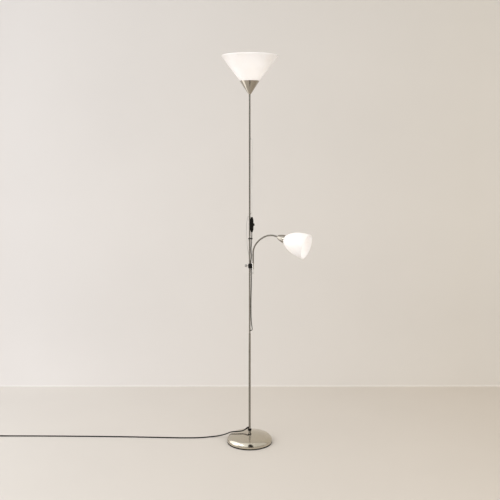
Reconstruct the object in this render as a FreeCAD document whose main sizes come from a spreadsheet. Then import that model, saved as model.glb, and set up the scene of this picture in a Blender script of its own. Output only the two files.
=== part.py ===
import FreeCAD, Part
import math
import os
import Sketcher
from FreeCAD import Placement, Rotation, Vector

# Floor lamp with an uplighter bowl, a bendable reading arm and a weighted dome base.
# +Z is up, +X points to the reading lamp's side, -Y faces the viewer. The origin is the
# middle of the base's underside. Sizes are millimetres and degrees.

doc = FreeCAD.newDocument("ReadingTorchiere")
sheet = doc.addObject("Spreadsheet::Sheet", "Sizes")

DRIVING_SIZES = {
    # base
    "pad_radius": 105.5, "pad_thickness": 6,
    "weight_radius": 88, "weight_thickness": 15, "boss_radius": 14,
    "recess_radius": 15, "recess_depth": 8,
    "cover_radius": 106, "cover_apex": 47, "cover_edge_radius": 23, "cover_equator": 9,
    "cover_wall": 1.2, "cover_rim_height": 6,
    "nut_across": 17, "nut_thickness": 5, "washer_radius": 12, "washer_thickness": 1.5,
    "collar_height": 17, "collar_foot_radius": 6.6, "collar_ring_foot": 9,
    "collar_ring_radius": 8.8, "collar_top_radius": 7.4, "collar_bevel": 1.5,
    # pole
    "low_tube_radius": 5, "low_tube_wall": 0.9,
    "tube_radius": 4, "tube_wall": 0.8,
    "low_joint_height": 520, "tube_length": 440, "tube_engagement": 20,
    "fit_gap": 0.05,
    "stud_length": 30, "stud_wall": 1.2,
    "reducer_height": 5,
    # entries of the leads into the pole
    "inlet_height": 72, "inlet_slope": 36, "relief_length": 18,
    "relief_root_radius": 4.4, "relief_tip_radius": 3.2, "relief_nose_radius": 2.8,
    "grommet_rise": 20,
    "grommet_nose_radius": 2.2, "grommet_flange_radius": 3.4, "grommet_flange": 1.6,
    "inner_lead_diameter": 3,
    # uplighter
    "bowl_height": 125, "rim_radius": 124, "bowl_floor_radius": 30.5,
    "bowl_wall": 2, "bowl_lip": 4, "bowl_lip_radius": 4,
    "top_tube_exposed": 216, "cup_foot_radius": 5.6,
    "cup_height": 58, "cup_top_radius": 44, "cup_wall": 1.1, "cup_rise": 5,
    "bush_clearance": 0.1, "bush_height": 8, "bush_nipple_radius": 5, "bush_nipple": 12,
    "bush_bore_radius": 3, "bush_seat": 3,
    "socket_radius": 19, "socket_flange_radius": 23.5, "socket_flange": 3,
    "socket_cavity_radius": 14.6, "socket_height": 44, "socket_floor": 8,
    "socket_flange_rise": 25.95,
    "socket_ring_radius": 25, "socket_ring_height": 7,
    "bulb_cap_radius": 13, "bulb_cap_height": 25, "bulb_neck_radius": 13.6,
    "bulb_neck_height": 12, "bulb_radius": 30, "bulb_height": 78, "bulb_shoulder_angle": 24,
    "bulb_wall": 1,
    # switch on the lead
    "switch_x": 9.9, "switch_y": -15.8, "switch_foot_height": 1001, "switch_length": 68,
    "switch_width": 22, "switch_thickness": 15.2, "switch_end_thickness": 8,
    "switch_taper": 14, "switch_wall": 1.8, "switch_side_wall": 2, "switch_edge_radius": 1.6,
    "switch_end_wall": 12,
    "rocker_length": 13.2, "rocker_width": 10, "rocker_crest": 5.5, "rocker_gap": 0.9,
    "rocker_pivot_depth": 4.6, "rocker_pin_radius": 1.2, "rocker_pin_seat": 1,
    "rocker_tilt": 7, "rocker_root": 1.8, "rocker_crown_radius": 6.8,
    "contact_length": 20, "contact_width": 4, "contact_thickness": 0.8, "contact_spacing": 8,
    "screw_radius": 1.1, "screw_head_radius": 2.1, "screw_head": 1.1, "screw_inset": 8.5,
    "screw_reach": 3, "screw_sink": 0.5,
    # clip that holds the black lead to the pole
    "clip_drop": 34, "clip_thickness": 4, "clip_width": 11, "clip_margin": 2.2,
    "clip_right": 9.4,
    # clamp that carries the reading arm
    "arm_azimuth": -26, "clamp_drop": 167, "clamp_height": 18,
    "clamp_right": 12.9, "clamp_half_depth": 6.6, "clamp_edge_radius": 1.5,
    "liner_wall": 0.9, "liner_flange": 1.6, "liner_flange_radius": 6.6,
    "knob_radius": 6.4, "knob_thickness": 6.4, "knob_reach": 16, "knob_shank_radius": 1.95,
    "knob_lobe_radius": 1.1, "knob_lobes": 10, "knob_tip_gap": 0.1,
    "ferrule_radius": 4.6, "ferrule_drop": 5, "ferrule_length": 28,
    "ferrule_bore": 1.9, "ferrule_stud_radius": 2, "ferrule_stud_reach": 6,
    "sleeve_radius": 2.6, "sleeve_length": 8,
    # bendable neck: straight part, then three arcs
    "neck_radius": 3.75, "neck_bore": 2, "neck_straight": 46,
    "neck_arc_low": 70, "neck_turn_low": 32, "neck_arc_mid": 110, "neck_turn_mid": 36,
    "neck_arc_high": 80, "neck_turn_high": 37, "neck_end_straight": 11, "neck_wire_radius": 1.5,
    # reading head, measured along its own axis from the end of the neck
    "head_cup_length": 35, "head_cup_root": 9.5, "head_cup_mouth": 19.5, "head_cup_wall": 1,
    "head_cup_bulge": 110, "head_hole_radius": 2.2,
    "head_socket_root": 6.5, "head_socket_radius": 11.5, "head_socket_neck": 12,
    "head_socket_taper": 6, "head_socket_length": 46, "head_socket_cavity": 8,
    "head_cavity_floor": 16, "head_flange_radius": 15.2, "head_flange_height": 25,
    "head_flange": 1.5, "head_ring_radius": 13.5, "head_ring_height": 5.5, "head_ring_gap": 0.1,
    "shade_floor_radius": 15.6, "shade_neck_radius": 17.8, "shade_length": 107,
    "shade_mouth_radius": 56, "shade_wall": 1.9, "shade_side_radius": 200, "shade_join_height": 50,
    "small_cap_radius": 7, "small_cap_height": 22, "small_bulb_radius": 22,
    "small_bulb_neck": 10, "small_bulb_centre": 34, "small_neck_radius": 7.6,
    # leads outside the pole
    "pale_lead_diameter": 3.2, "black_lead_diameter": 3.8,
    # mains cord, its coil and plug
    "cord_diameter": 5.5, "cord_lift": 0.9, "coil_radius": 34.5, "coil_turns": 3,
    "coil_pitch": 6.1, "coil_x": -1262, "cord_run_y": 64.2, "coil_lead_out": 36,
    "tie_width": 4, "tie_thickness": 0.7, "tie_gap": 0.3,
    "plug_length": 42, "plug_width": 35, "plug_tail_radius": 4.6, "plug_waist_width": 22,
    "pin_radius": 2, "pin_length": 19, "pin_spacing": 19,
}


class Size:
    """A number together with the spreadsheet formula that gives it."""

    def __init__(self, value, formula):
        self.value = value
        self.formula = formula

    def joined(self, sign, other, value):
        return Size(value, "(" + self.formula + sign + other.formula + ")")

    def __add__(self, other):
        other = as_size(other)
        return self.joined(" + ", other, self.value + other.value)

    def __sub__(self, other):
        other = as_size(other)
        return self.joined(" - ", other, self.value - other.value)

    def __mul__(self, other):
        other = as_size(other)
        return self.joined(" * ", other, self.value * other.value)

    def __truediv__(self, other):
        other = as_size(other)
        return self.joined(" / ", other, self.value / other.value)

    def __neg__(self):
        return Size(-self.value, "(0 - " + self.formula + ")")

    def __rsub__(self, other):
        return as_size(other) - self


def as_size(number):
    if isinstance(number, Size):
        return number
    return Size(float(number), repr(float(number)))


def root(size):
    return Size(math.sqrt(size.value), "sqrt(" + size.formula + ")")


def sine(angle):
    return Size(math.sin(math.radians(angle.value)), "sin(" + angle.formula + ")")


def cosine(angle):
    return Size(math.cos(math.radians(angle.value)), "cos(" + angle.formula + ")")


class Sizes:
    """The driving sizes, each by its alias in the sheet."""


def fill_sheet():
    sizes = Sizes()
    for row, (alias, number) in enumerate(DRIVING_SIZES.items(), start=1):
        cell = "B" + str(row)
        sheet.set("A" + str(row), alias.replace("_", " "))
        sheet.set(cell, str(number))
        sheet.setAlias(cell, alias)
        setattr(sizes, alias, Size(float(number), "Sizes." + alias))
    doc.recompute()
    return sizes


s = fill_sheet()
ZERO = as_size(0)
parts = {}


def keep(name, obj):
    """Registers a finished sub-part under its file name."""
    obj.Label = name
    parts[name] = obj
    return obj


def bind(obj, prop, size):
    obj.setExpression(prop, as_size(size).formula)


# ---------------------------------------------------------------- sketches and solids

def origin_plane(body, role):
    return next(item for item in body.Origin.OriginFeatures if item.Role == role)


def new_sketch(body, role, name):
    sketch = body.newObject("Sketcher::SketchObject", name)
    sketch.AttachmentSupport = [(origin_plane(body, role), "")]
    sketch.MapMode = "FlatFace"
    return sketch


def pin_point(sketch, edge, point, x, y):
    """Ties one sketch point to the sheet."""
    for size, kind, axis in ((x, "DistanceX", -2), (y, "DistanceY", -1)):
        if abs(size.value) < 1e-9:
            sketch.addConstraint(Sketcher.Constraint("PointOnObject", edge, point, axis))
            continue
        if size.value > 0:
            number = sketch.addConstraint(
                Sketcher.Constraint(kind, -1, 1, edge, point, size.value))
            formula = size.formula
        else:
            number = sketch.addConstraint(
                Sketcher.Constraint(kind, edge, point, -1, 1, -size.value))
            formula = (-size).formula
        sketch.setExpression("Constraints[" + str(number) + "]", formula)


def arc_between(start, end, radius, side):
    """The short arc from start to end; side +1 has its centre on the left of the way."""
    chord = end - start
    left = Vector(-chord.y, chord.x, 0).normalize()
    rise = math.sqrt(radius ** 2 - (chord.Length / 2) ** 2)
    centre = (start + end) * 0.5 + left * (side * rise)
    first, last = (start, end) if side > 0 else (end, start)
    angles = [math.atan2(p.y - centre.y, p.x - centre.x) for p in (first, last)]
    return Part.ArcOfCircle(Part.Circle(centre, Vector(0, 0, 1), radius), *angles)


def draw_outline(sketch, outline):
    """Closed outline of (x, y) corners; (x, y, radius, side) starts an arc to the next."""
    corners = [(as_size(c[0]), as_size(c[1])) for c in outline]
    ends = []
    for index, corner in enumerate(outline):
        follower = corners[(index + 1) % len(corners)]
        start = Vector(corners[index][0].value, corners[index][1].value, 0)
        end = Vector(follower[0].value, follower[1].value, 0)
        if len(corner) == 2:
            edge = sketch.addGeometry(Part.LineSegment(start, end), False)
            ends.append((edge, 1, 2))
            continue
        radius, side = as_size(corner[2]), corner[3]
        edge = sketch.addGeometry(arc_between(start, end, radius.value, side), False)
        ends.append((edge, 1, 2) if side > 0 else (edge, 2, 1))
    for index, (edge, start, _) in enumerate(ends):
        before, _, end = ends[index - 1]
        sketch.addConstraint(Sketcher.Constraint("Coincident", before, end, edge, start))
        pin_point(sketch, edge, start, *corners[index])
    for (edge, _, _), corner in zip(ends, outline):
        if len(corner) == 4:
            radius = as_size(corner[2])
            number = sketch.addConstraint(Sketcher.Constraint("Radius", edge, radius.value))
            sketch.setExpression("Constraints[" + str(number) + "]", radius.formula)


def turned(name, outline):
    """A piece turned round its own Z axis from a half outline of (radius, height)."""
    body = doc.addObject("PartDesign::Body", name)
    sketch = new_sketch(body, "XZ_Plane", name + "_outline")
    draw_outline(sketch, outline)
    turn = body.newObject("PartDesign::Revolution", name + "_turn")
    turn.Profile = sketch
    turn.ReferenceAxis = (sketch, ["V_Axis"])
    turn.Angle = 360
    body.Tip = turn
    return body


def padded(name, role, outline, depth):
    """A piece of even depth, pushed both ways from an origin plane."""
    body = doc.addObject("PartDesign::Body", name)
    sketch = new_sketch(body, role, name + "_outline")
    draw_outline(sketch, outline)
    pad = body.newObject("PartDesign::Pad", name + "_pad")
    pad.Profile = sketch
    pad.Midplane = True
    bind(pad, "Length", depth)
    body.Tip = pad
    return body


def round_edges(body, radius, wanted):
    """Fillets the edges of a body's last feature whose middle point is wanted."""
    doc.recompute()
    last = body.Tip
    picked = []
    for index, edge in enumerate(last.Shape.Edges, start=1):
        if wanted(edge.valueAt((edge.FirstParameter + edge.LastParameter) / 2)):
            picked.append("Edge" + str(index))
    rounded = body.newObject("PartDesign::Fillet", body.Name + "_round")
    rounded.Base = (last, picked)
    bind(rounded, "Radius", radius)
    body.Tip = rounded


def place(obj, x=ZERO, y=ZERO, z=ZERO, turn=None):
    """Sets a placement whose position follows the sheet."""
    obj.Placement = Placement(Vector(as_size(x).value, as_size(y).value, as_size(z).value),
                              turn or Rotation())
    for axis, size in (("x", x), ("y", y), ("z", z)):
        bind(obj, "Placement.Base." + axis, size)
    return obj


ALONG_X = Rotation(Vector(0, 1, 0), 90)
ALONG_Y = Rotation(Vector(1, 0, 0), -90)


def rod(name, radius, length, x=ZERO, y=ZERO, z=ZERO, turn=None):
    cylinder = doc.addObject("Part::Cylinder", name)
    bind(cylinder, "Radius", radius)
    bind(cylinder, "Height", length)
    return place(cylinder, x, y, z, turn)


def block(name, length, width, height, x, y, z):
    box = doc.addObject("Part::Box", name)
    bind(box, "Length", length)
    bind(box, "Width", width)
    bind(box, "Height", height)
    return place(box, x, y, z)


def cut(name, base, *tools):
    for index, tool in enumerate(tools):
        result = doc.addObject("Part::Cut", name + "_cut" + str(index))
        result.Base = base
        result.Tool = tool
        base = result
    return base


def fuse(name, *pieces):
    result = doc.addObject("Part::MultiFuse", name + "_joined")
    result.Shapes = list(pieces)
    return result


def several(name, *pieces):
    """Separate solids that share one node."""
    group = doc.addObject("Part::Compound", name + "_set")
    group.Links = list(pieces)
    return group


def feature(name, shape):
    obj = doc.addObject("Part::Feature", name)
    obj.Shape = shape
    return obj


# ---------------------------------------------------------------- tubes along a line

def rounded_wire(points):
    """Straight runs joined by tangent arcs, each as large as its two runs allow."""
    points = [Vector(*p) for p in points]
    edges = []
    radii = []
    last = points[0]
    for before, corner, after in zip(points, points[1:], points[2:]):
        inward = (before - corner).normalize()
        outward = (after - corner).normalize()
        turn = math.pi - inward.getAngle(outward)
        cut_back = 0.45 * min((corner - before).Length, (after - corner).Length)
        radius = cut_back / math.tan(turn / 2)
        start = corner + inward * cut_back
        end = corner + outward * cut_back
        middle_way = (inward + outward).normalize()
        centre = corner + middle_way * math.hypot(cut_back, radius)
        middle = centre - middle_way * radius
        edges.append(Part.LineSegment(last, start).toShape())
        edges.append(Part.Arc(start, middle, end).toShape())
        radii.append(radius)
        last = end
    edges.append(Part.LineSegment(last, points[-1]).toShape())
    return Part.Wire(edges), radii


def swept(wire, radius, bore=0):
    """A round tube along a wire; its volume is compared with section times length."""
    start = wire.Edges[0]
    at = start.valueAt(start.FirstParameter)
    way = start.tangentAt(start.FirstParameter)

    def along(size):
        ring = Part.Wire(Part.Circle(at, way, size).toShape())
        return wire.makePipeShell([ring], True, False)

    solid = along(radius)
    if bore:
        solid = solid.cut(along(bore))
    section = math.pi * (radius ** 2 - bore ** 2)
    return solid, solid.Volume / (section * wire.Length)


def lead(name, points, diameter):
    """A lead or cord along a route of points chosen by hand."""
    wire, radii = rounded_wire(points)
    solid, ratio = swept(wire, diameter / 2)
    print(name, "length", round(wire.Length, 1), "volume ratio", round(ratio, 4),
          "radii in diameters", [round(radius / diameter, 1) for radius in radii])
    return keep(name, feature(name, solid))


# ---------------------------------------------------------------- base

cover_drop = s.cover_apex - s.cover_equator
# radius of the crown that meets the edge arc smoothly
crown_radius = ((s.cover_radius * s.cover_radius - s.cover_radius * s.cover_edge_radius * 2
                 + cover_drop * cover_drop)
                / (cover_drop * 2 - s.cover_edge_radius * 2))
crown_centre = s.cover_apex - crown_radius
# where the crown passes into the edge arc, as a share of the crown's radius
join_scale = crown_radius / (crown_radius - s.cover_edge_radius)
edge_centre = s.cover_radius - s.cover_edge_radius
join_radius = edge_centre * join_scale
join_height = crown_centre + (s.cover_equator - crown_centre) * join_scale
hole_radius = s.low_tube_radius + s.fit_gap


def on_crown(radius, size):
    """Height of the crown of the given size at a radius."""
    return crown_centre + root(size * size - radius * radius)


def base_cover():
    inner_crown = crown_radius - s.cover_wall
    inner_edge = s.cover_edge_radius - s.cover_wall
    inner_scale = inner_crown / crown_radius
    inner_join_radius = join_radius * inner_scale
    inner_join_height = crown_centre + (join_height - crown_centre) * inner_scale
    return keep("base_cover", turned("base_cover", [
        (hole_radius, on_crown(hole_radius, inner_crown), inner_crown, -1),
        (inner_join_radius, inner_join_height, inner_edge, -1),
        (s.cover_radius - s.cover_wall, s.cover_equator),
        (s.cover_radius - s.cover_wall, s.cover_rim_height),
        (s.cover_radius, s.cover_rim_height),
        (s.cover_radius, s.cover_equator, s.cover_edge_radius, 1),
        (join_radius, join_height, crown_radius, 1),
        (hole_radius, on_crown(hole_radius, crown_radius)),
    ]))


def base_weight():
    top = s.pad_thickness + s.weight_thickness
    boss_top = on_crown(s.boss_radius, crown_radius - s.cover_wall) - s.fit_gap
    return keep("base_weight", turned("base_weight", [
        (hole_radius, s.pad_thickness + s.recess_depth),
        (s.recess_radius, s.pad_thickness + s.recess_depth),
        (s.recess_radius, s.pad_thickness),
        (s.weight_radius, s.pad_thickness),
        (s.weight_radius, top),
        (s.boss_radius, top),
        (s.boss_radius, boss_top),
        (hole_radius, boss_top),
    ]))


def base_fixings():
    keep("base_pad", rod("base_pad", s.pad_radius, s.pad_thickness))
    washer_top = s.pad_thickness + s.recess_depth
    washer = cut("base_washer",
                 rod("washer_disc", s.washer_radius, s.washer_thickness,
                     z=washer_top - s.washer_thickness),
                 rod("washer_hole", hole_radius, s.washer_thickness,
                     z=washer_top - s.washer_thickness))
    keep("base_washer", washer)
    nut = doc.addObject("Part::Prism", "nut_hexagon")
    nut.Polygon = 6
    bind(nut, "Circumradius", s.nut_across / cosine(as_size(30)) / 2)
    bind(nut, "Height", s.nut_thickness)
    nut_foot = washer_top - s.washer_thickness - s.nut_thickness
    place(nut, z=nut_foot)
    keep("base_nut", cut("base_nut", nut,
                         rod("nut_hole", hole_radius, s.nut_thickness, z=nut_foot)))
    crown_edge = on_crown(s.collar_foot_radius, crown_radius) + s.fit_gap
    hole_edge = on_crown(hole_radius, crown_radius) + s.fit_gap
    ring_foot = s.cover_apex + s.collar_ring_foot
    collar_top = s.cover_apex + s.collar_height
    keep("foot_collar", turned("foot_collar", [
        (hole_radius, hole_edge),
        (s.collar_foot_radius, crown_edge),
        (s.collar_foot_radius, ring_foot),
        (hole_radius, ring_foot),
    ]))
    keep("collar_ring", turned("collar_ring", [
        (hole_radius, ring_foot + s.fit_gap),
        (s.collar_ring_radius, ring_foot + s.fit_gap),
        (s.collar_ring_radius, collar_top - s.collar_bevel),
        (s.collar_top_radius, collar_top),
        (hole_radius, collar_top),
    ]))


# ---------------------------------------------------------------- pole

middle_foot = s.low_joint_height - s.tube_engagement
joint_mid = s.low_joint_height + s.tube_length
joint_high = joint_mid + s.tube_length
low_grommet_height = s.low_joint_height + s.grommet_rise
high_grommet_height = joint_high + s.grommet_rise
cup_foot_height = joint_high + s.top_tube_exposed
cup_top_height = cup_foot_height + s.cup_height
bush_foot = cup_foot_height + s.cup_rise
bush_top = bush_foot + s.bush_height
socket_foot = bush_top + s.bush_nipple - s.socket_floor
bowl_floor_height = socket_foot + s.socket_flange_rise + s.fit_gap
rim_height = bowl_floor_height + s.bowl_height
# the pole ends inside the bush, below the bush's narrower bore
pole_top = bush_top - s.bush_seat
tube_bore = s.tube_radius - s.tube_wall
low_tube_bore = s.low_tube_radius - s.low_tube_wall
pole_foot = s.pad_thickness + s.recess_depth - s.washer_thickness - s.nut_thickness
SLOPE_TURN = Rotation(Vector(0, 1, 0), -90 - s.inlet_slope.value)


def tube(name, radius, bore, foot, top):
    return cut(name,
               rod(name + "_outside", radius, top - foot, z=foot),
               rod(name + "_inside", bore, top - foot, z=foot))


def pole():
    inlet = rod("inlet_hole", s.relief_nose_radius + s.fit_gap, s.low_tube_radius * 2,
                z=s.inlet_height + s.low_tube_radius * sine(s.inlet_slope) / cosine(s.inlet_slope),
                turn=SLOPE_TURN)
    place(inlet, z=s.inlet_height + (s.low_tube_radius * sine(s.inlet_slope)
                                     / cosine(s.inlet_slope)), turn=SLOPE_TURN)
    low = cut("pole_lower",
              tube("low_tube", s.low_tube_radius, low_tube_bore, pole_foot,
                   s.low_joint_height), inlet)
    keep("pole_lower", low)
    hole = s.grommet_nose_radius + s.fit_gap
    keep("pole_middle", cut(
        "pole_middle", tube("middle_tube", s.tube_radius, tube_bore, middle_foot, joint_mid),
        rod("low_lead_hole", hole, s.tube_radius * 2, z=low_grommet_height, turn=ALONG_X)))
    keep("pole_upper", tube("upper_tube", s.tube_radius, tube_bore, joint_mid, joint_high))
    keep("pole_top", cut(
        "pole_top", tube("top_tube", s.tube_radius, tube_bore, joint_high, pole_top),
        rod("high_lead_hole", hole, s.tube_radius * 2, z=high_grommet_height, turn=ALONG_X)))
    keep("pole_reducer", turned("pole_reducer", [
        (s.tube_radius + s.fit_gap, s.low_joint_height),
        (s.low_tube_radius, s.low_joint_height),
        (s.tube_radius + s.tube_wall, s.low_joint_height + s.reducer_height),
        (s.tube_radius + s.fit_gap, s.low_joint_height + s.reducer_height),
    ]))
    studs = [tube("stud_" + str(index), tube_bore - s.fit_gap,
                  tube_bore - s.fit_gap - s.stud_wall,
                  height - s.stud_length / 2, height + s.stud_length / 2)
             for index, height in enumerate((joint_mid, joint_high))]
    keep("pole_studs", several("pole_studs", *studs))


def pole_entries():
    """Strain relief of the mains cord and the two grommets of the outside leads."""
    nose = s.relief_root_radius * (sine(s.inlet_slope) / cosine(s.inlet_slope)) + s.fit_gap * 2
    relief = turned("strain_relief", [
        (ZERO, s.low_tube_wall * -1),
        (s.relief_nose_radius, s.low_tube_wall * -1),
        (s.relief_nose_radius, nose),
        (s.relief_root_radius, nose),
        (s.relief_tip_radius, s.relief_length),
        (ZERO, s.relief_length),
    ])
    keep("strain_relief", place(relief, -s.low_tube_radius, ZERO, s.inlet_height, SLOPE_TURN))
    for name, height in (("lower_grommet", low_grommet_height),
                         ("upper_grommet", high_grommet_height)):
        grommet = turned(name, [
            (ZERO, tube_bore + s.fit_gap * 4),
            (s.grommet_nose_radius, tube_bore + s.fit_gap * 4),
            (s.grommet_nose_radius, s.tube_radius + s.fit_gap),
            (s.grommet_flange_radius, s.tube_radius + s.fit_gap),
            (s.grommet_flange_radius * 0.8, s.tube_radius + s.grommet_flange),
            (ZERO, s.tube_radius + s.grommet_flange),
        ])
        keep(name, place(grommet, z=height, turn=ALONG_X))


def inner_leads():
    """Leads inside the pole: mains entry to lower grommet, upper grommet to lampholder."""
    wall_end = tube_bore.value + 0.15
    slope = math.radians(s.inlet_slope.value)
    inward = Vector(math.cos(slope), 0, math.sin(slope))
    nose = (Vector(-s.low_tube_radius.value, 0, s.inlet_height.value)
            + inward * (s.low_tube_wall.value + s.fit_gap.value))
    bend = nose + inward * 3.4
    low_z = low_grommet_height.value
    high_z = high_grommet_height.value
    socket_z = socket_foot.value
    lead("inner_lead_lower", [
        tuple(nose), tuple(bend), (bend.x - 0.1, 0, bend.z + 8), (-1.1, 0, low_z - 8),
        (-1, 0, low_z), (wall_end, 0, low_z)], s.inner_lead_diameter.value)
    lead("inner_lead_top", [
        (wall_end, 0, high_z), (-1, 0, high_z), (-0.9, 0, high_z + 8),
        (0, 0, socket_z - 14), (0, 0, socket_z)], s.inner_lead_diameter.value)


# ---------------------------------------------------------------- uplighter

cup_slope = (s.cup_top_radius - s.cup_foot_radius) / (cup_top_height - cup_foot_height)
cup_wall_across = s.cup_wall * root(cup_slope * cup_slope + 1)
bowl_slope = (s.rim_radius - s.bowl_floor_radius) / (s.bowl_height - s.bowl_lip)
bowl_wall_across = s.bowl_wall * root(bowl_slope * bowl_slope + 1)
socket_flange_top = bowl_floor_height - s.fit_gap


def cup_inside(height):
    """Inner radius of the uplighter's cup at a height."""
    return s.cup_foot_radius + (height - cup_foot_height) * cup_slope - cup_wall_across


def uplighter_cup():
    floor = cup_foot_height + s.cup_wall * 2
    keep("uplighter_cup", turned("uplighter_cup", [
        (s.tube_radius + s.fit_gap, cup_foot_height),
        (s.cup_foot_radius, cup_foot_height),
        (s.cup_top_radius, cup_top_height),
        (s.cup_top_radius - cup_wall_across, cup_top_height),
        (cup_inside(floor), floor),
        (s.tube_radius + s.fit_gap, floor),
    ]))
    seat = s.bush_clearance
    keep("socket_bush", turned("socket_bush", [
        (s.tube_radius + s.fit_gap, bush_foot),
        (cup_inside(bush_foot) - seat, bush_foot),
        (cup_inside(bush_top) - seat, bush_top),
        (s.bush_nipple_radius, bush_top),
        (s.bush_nipple_radius, bush_top + s.bush_nipple),
        (s.bush_bore_radius, bush_top + s.bush_nipple),
        (s.bush_bore_radius, pole_top),
        (s.tube_radius + s.fit_gap, pole_top),
    ]))


def uplighter_socket():
    top = socket_foot + s.socket_height
    flange_foot = socket_flange_top - s.socket_flange
    floor = socket_foot + s.socket_floor
    keep("uplighter_socket", turned("uplighter_socket", [
        (s.bush_nipple_radius + s.fit_gap, socket_foot),
        (s.socket_radius * 0.75, socket_foot),
        (s.socket_radius, socket_foot + s.socket_floor),
        (s.socket_radius, flange_foot),
        (s.socket_flange_radius, flange_foot),
        (s.socket_flange_radius, socket_flange_top),
        (s.socket_radius, socket_flange_top),
        (s.socket_radius, top),
        (s.socket_cavity_radius, top),
        (s.socket_cavity_radius, floor),
        (s.bush_nipple_radius + s.fit_gap, floor),
    ]))
    ring_foot = bowl_floor_height + s.bowl_wall + s.fit_gap
    keep("uplighter_ring", cut(
        "uplighter_ring",
        rod("ring_outside", s.socket_ring_radius, s.socket_ring_height, z=ring_foot),
        rod("ring_inside", s.socket_radius + s.fit_gap, s.socket_ring_height, z=ring_foot)))


def uplighter_bowl():
    """The bowl: a flat floor with a hole for the lampholder, a straight cone and a lip."""
    lip_inset = s.bowl_lip * 0.3
    hole = s.socket_radius + s.fit_gap * 10
    floor_top = bowl_floor_height + s.bowl_wall
    inner_floor = (s.bowl_floor_radius + s.bowl_wall * bowl_slope) - bowl_wall_across
    keep("uplighter_bowl", turned("uplighter_bowl", [
        (hole, bowl_floor_height),
        (s.bowl_floor_radius, bowl_floor_height),
        (s.rim_radius, rim_height - s.bowl_lip, s.bowl_lip_radius, 1),
        (s.rim_radius - lip_inset, rim_height),
        (s.rim_radius - lip_inset - s.bowl_wall, rim_height),
        (s.rim_radius - bowl_wall_across, rim_height - s.bowl_lip),
        (inner_floor, floor_top),
        (hole, floor_top),
    ]))


def uplighter_bulb():
    """Lamp bulb: a metal cap in the holder and a pear-shaped glass."""
    cap_foot = socket_foot + s.socket_floor + s.fit_gap * 6
    cap_top = cap_foot + s.bulb_cap_height
    keep("uplighter_bulb_cap", turned("uplighter_bulb_cap", [
        (ZERO, cap_foot),
        (s.bulb_cap_radius * 0.4, cap_foot),
        (s.bulb_cap_radius, cap_foot + s.bulb_cap_radius * 0.4),
        (s.bulb_cap_radius, cap_top),
        (ZERO, cap_top),
    ]))
    centre = cap_top + s.bulb_height - s.bulb_radius
    shoulder_radius = s.bulb_radius * cosine(s.bulb_shoulder_angle)
    shoulder = centre - s.bulb_radius * sine(s.bulb_shoulder_angle)
    wall = s.bulb_wall
    inside = s.bulb_radius - wall
    keep("uplighter_bulb", turned("uplighter_bulb", [
        (s.bulb_neck_radius - 1 - wall, cap_top),
        (s.bulb_neck_radius - 1, cap_top),
        (s.bulb_neck_radius, cap_top + s.bulb_neck_height),
        (shoulder_radius, shoulder, s.bulb_radius, 1),
        (ZERO, cap_top + s.bulb_height),
        (ZERO, cap_top + s.bulb_height - wall, inside, -1),
        (inside * cosine(s.bulb_shoulder_angle), centre - inside * sine(s.bulb_shoulder_angle)),
        (s.bulb_neck_radius - wall, cap_top + s.bulb_neck_height),
    ]))


# ---------------------------------------------------------------- switch on the lead

half_thickness = s.switch_thickness / 2
end_half = s.switch_end_thickness / 2
rocker_height = s.switch_foot_height + s.switch_length / 2
cavity_foot = s.switch_end_wall
cavity_length = s.switch_length - s.switch_end_wall * 2
rocker_pivot_x = half_thickness - s.rocker_pivot_depth


def switch_shell(name, side):
    """Half of the housing; side +1 is the half with the rocker."""
    outline = [
        (ZERO, ZERO),
        (end_half * side, ZERO),
        (half_thickness * side, s.switch_taper),
        (half_thickness * side, s.switch_length - s.switch_taper),
        (end_half * side, s.switch_length),
        (ZERO, s.switch_length),
    ]
    body = padded(name, "XZ_Plane", outline, s.switch_width)
    round_edges(body, s.switch_edge_radius, lambda middle: abs(middle.x) > 1)
    return place(body, s.switch_x, s.switch_y, s.switch_foot_height)


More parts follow.
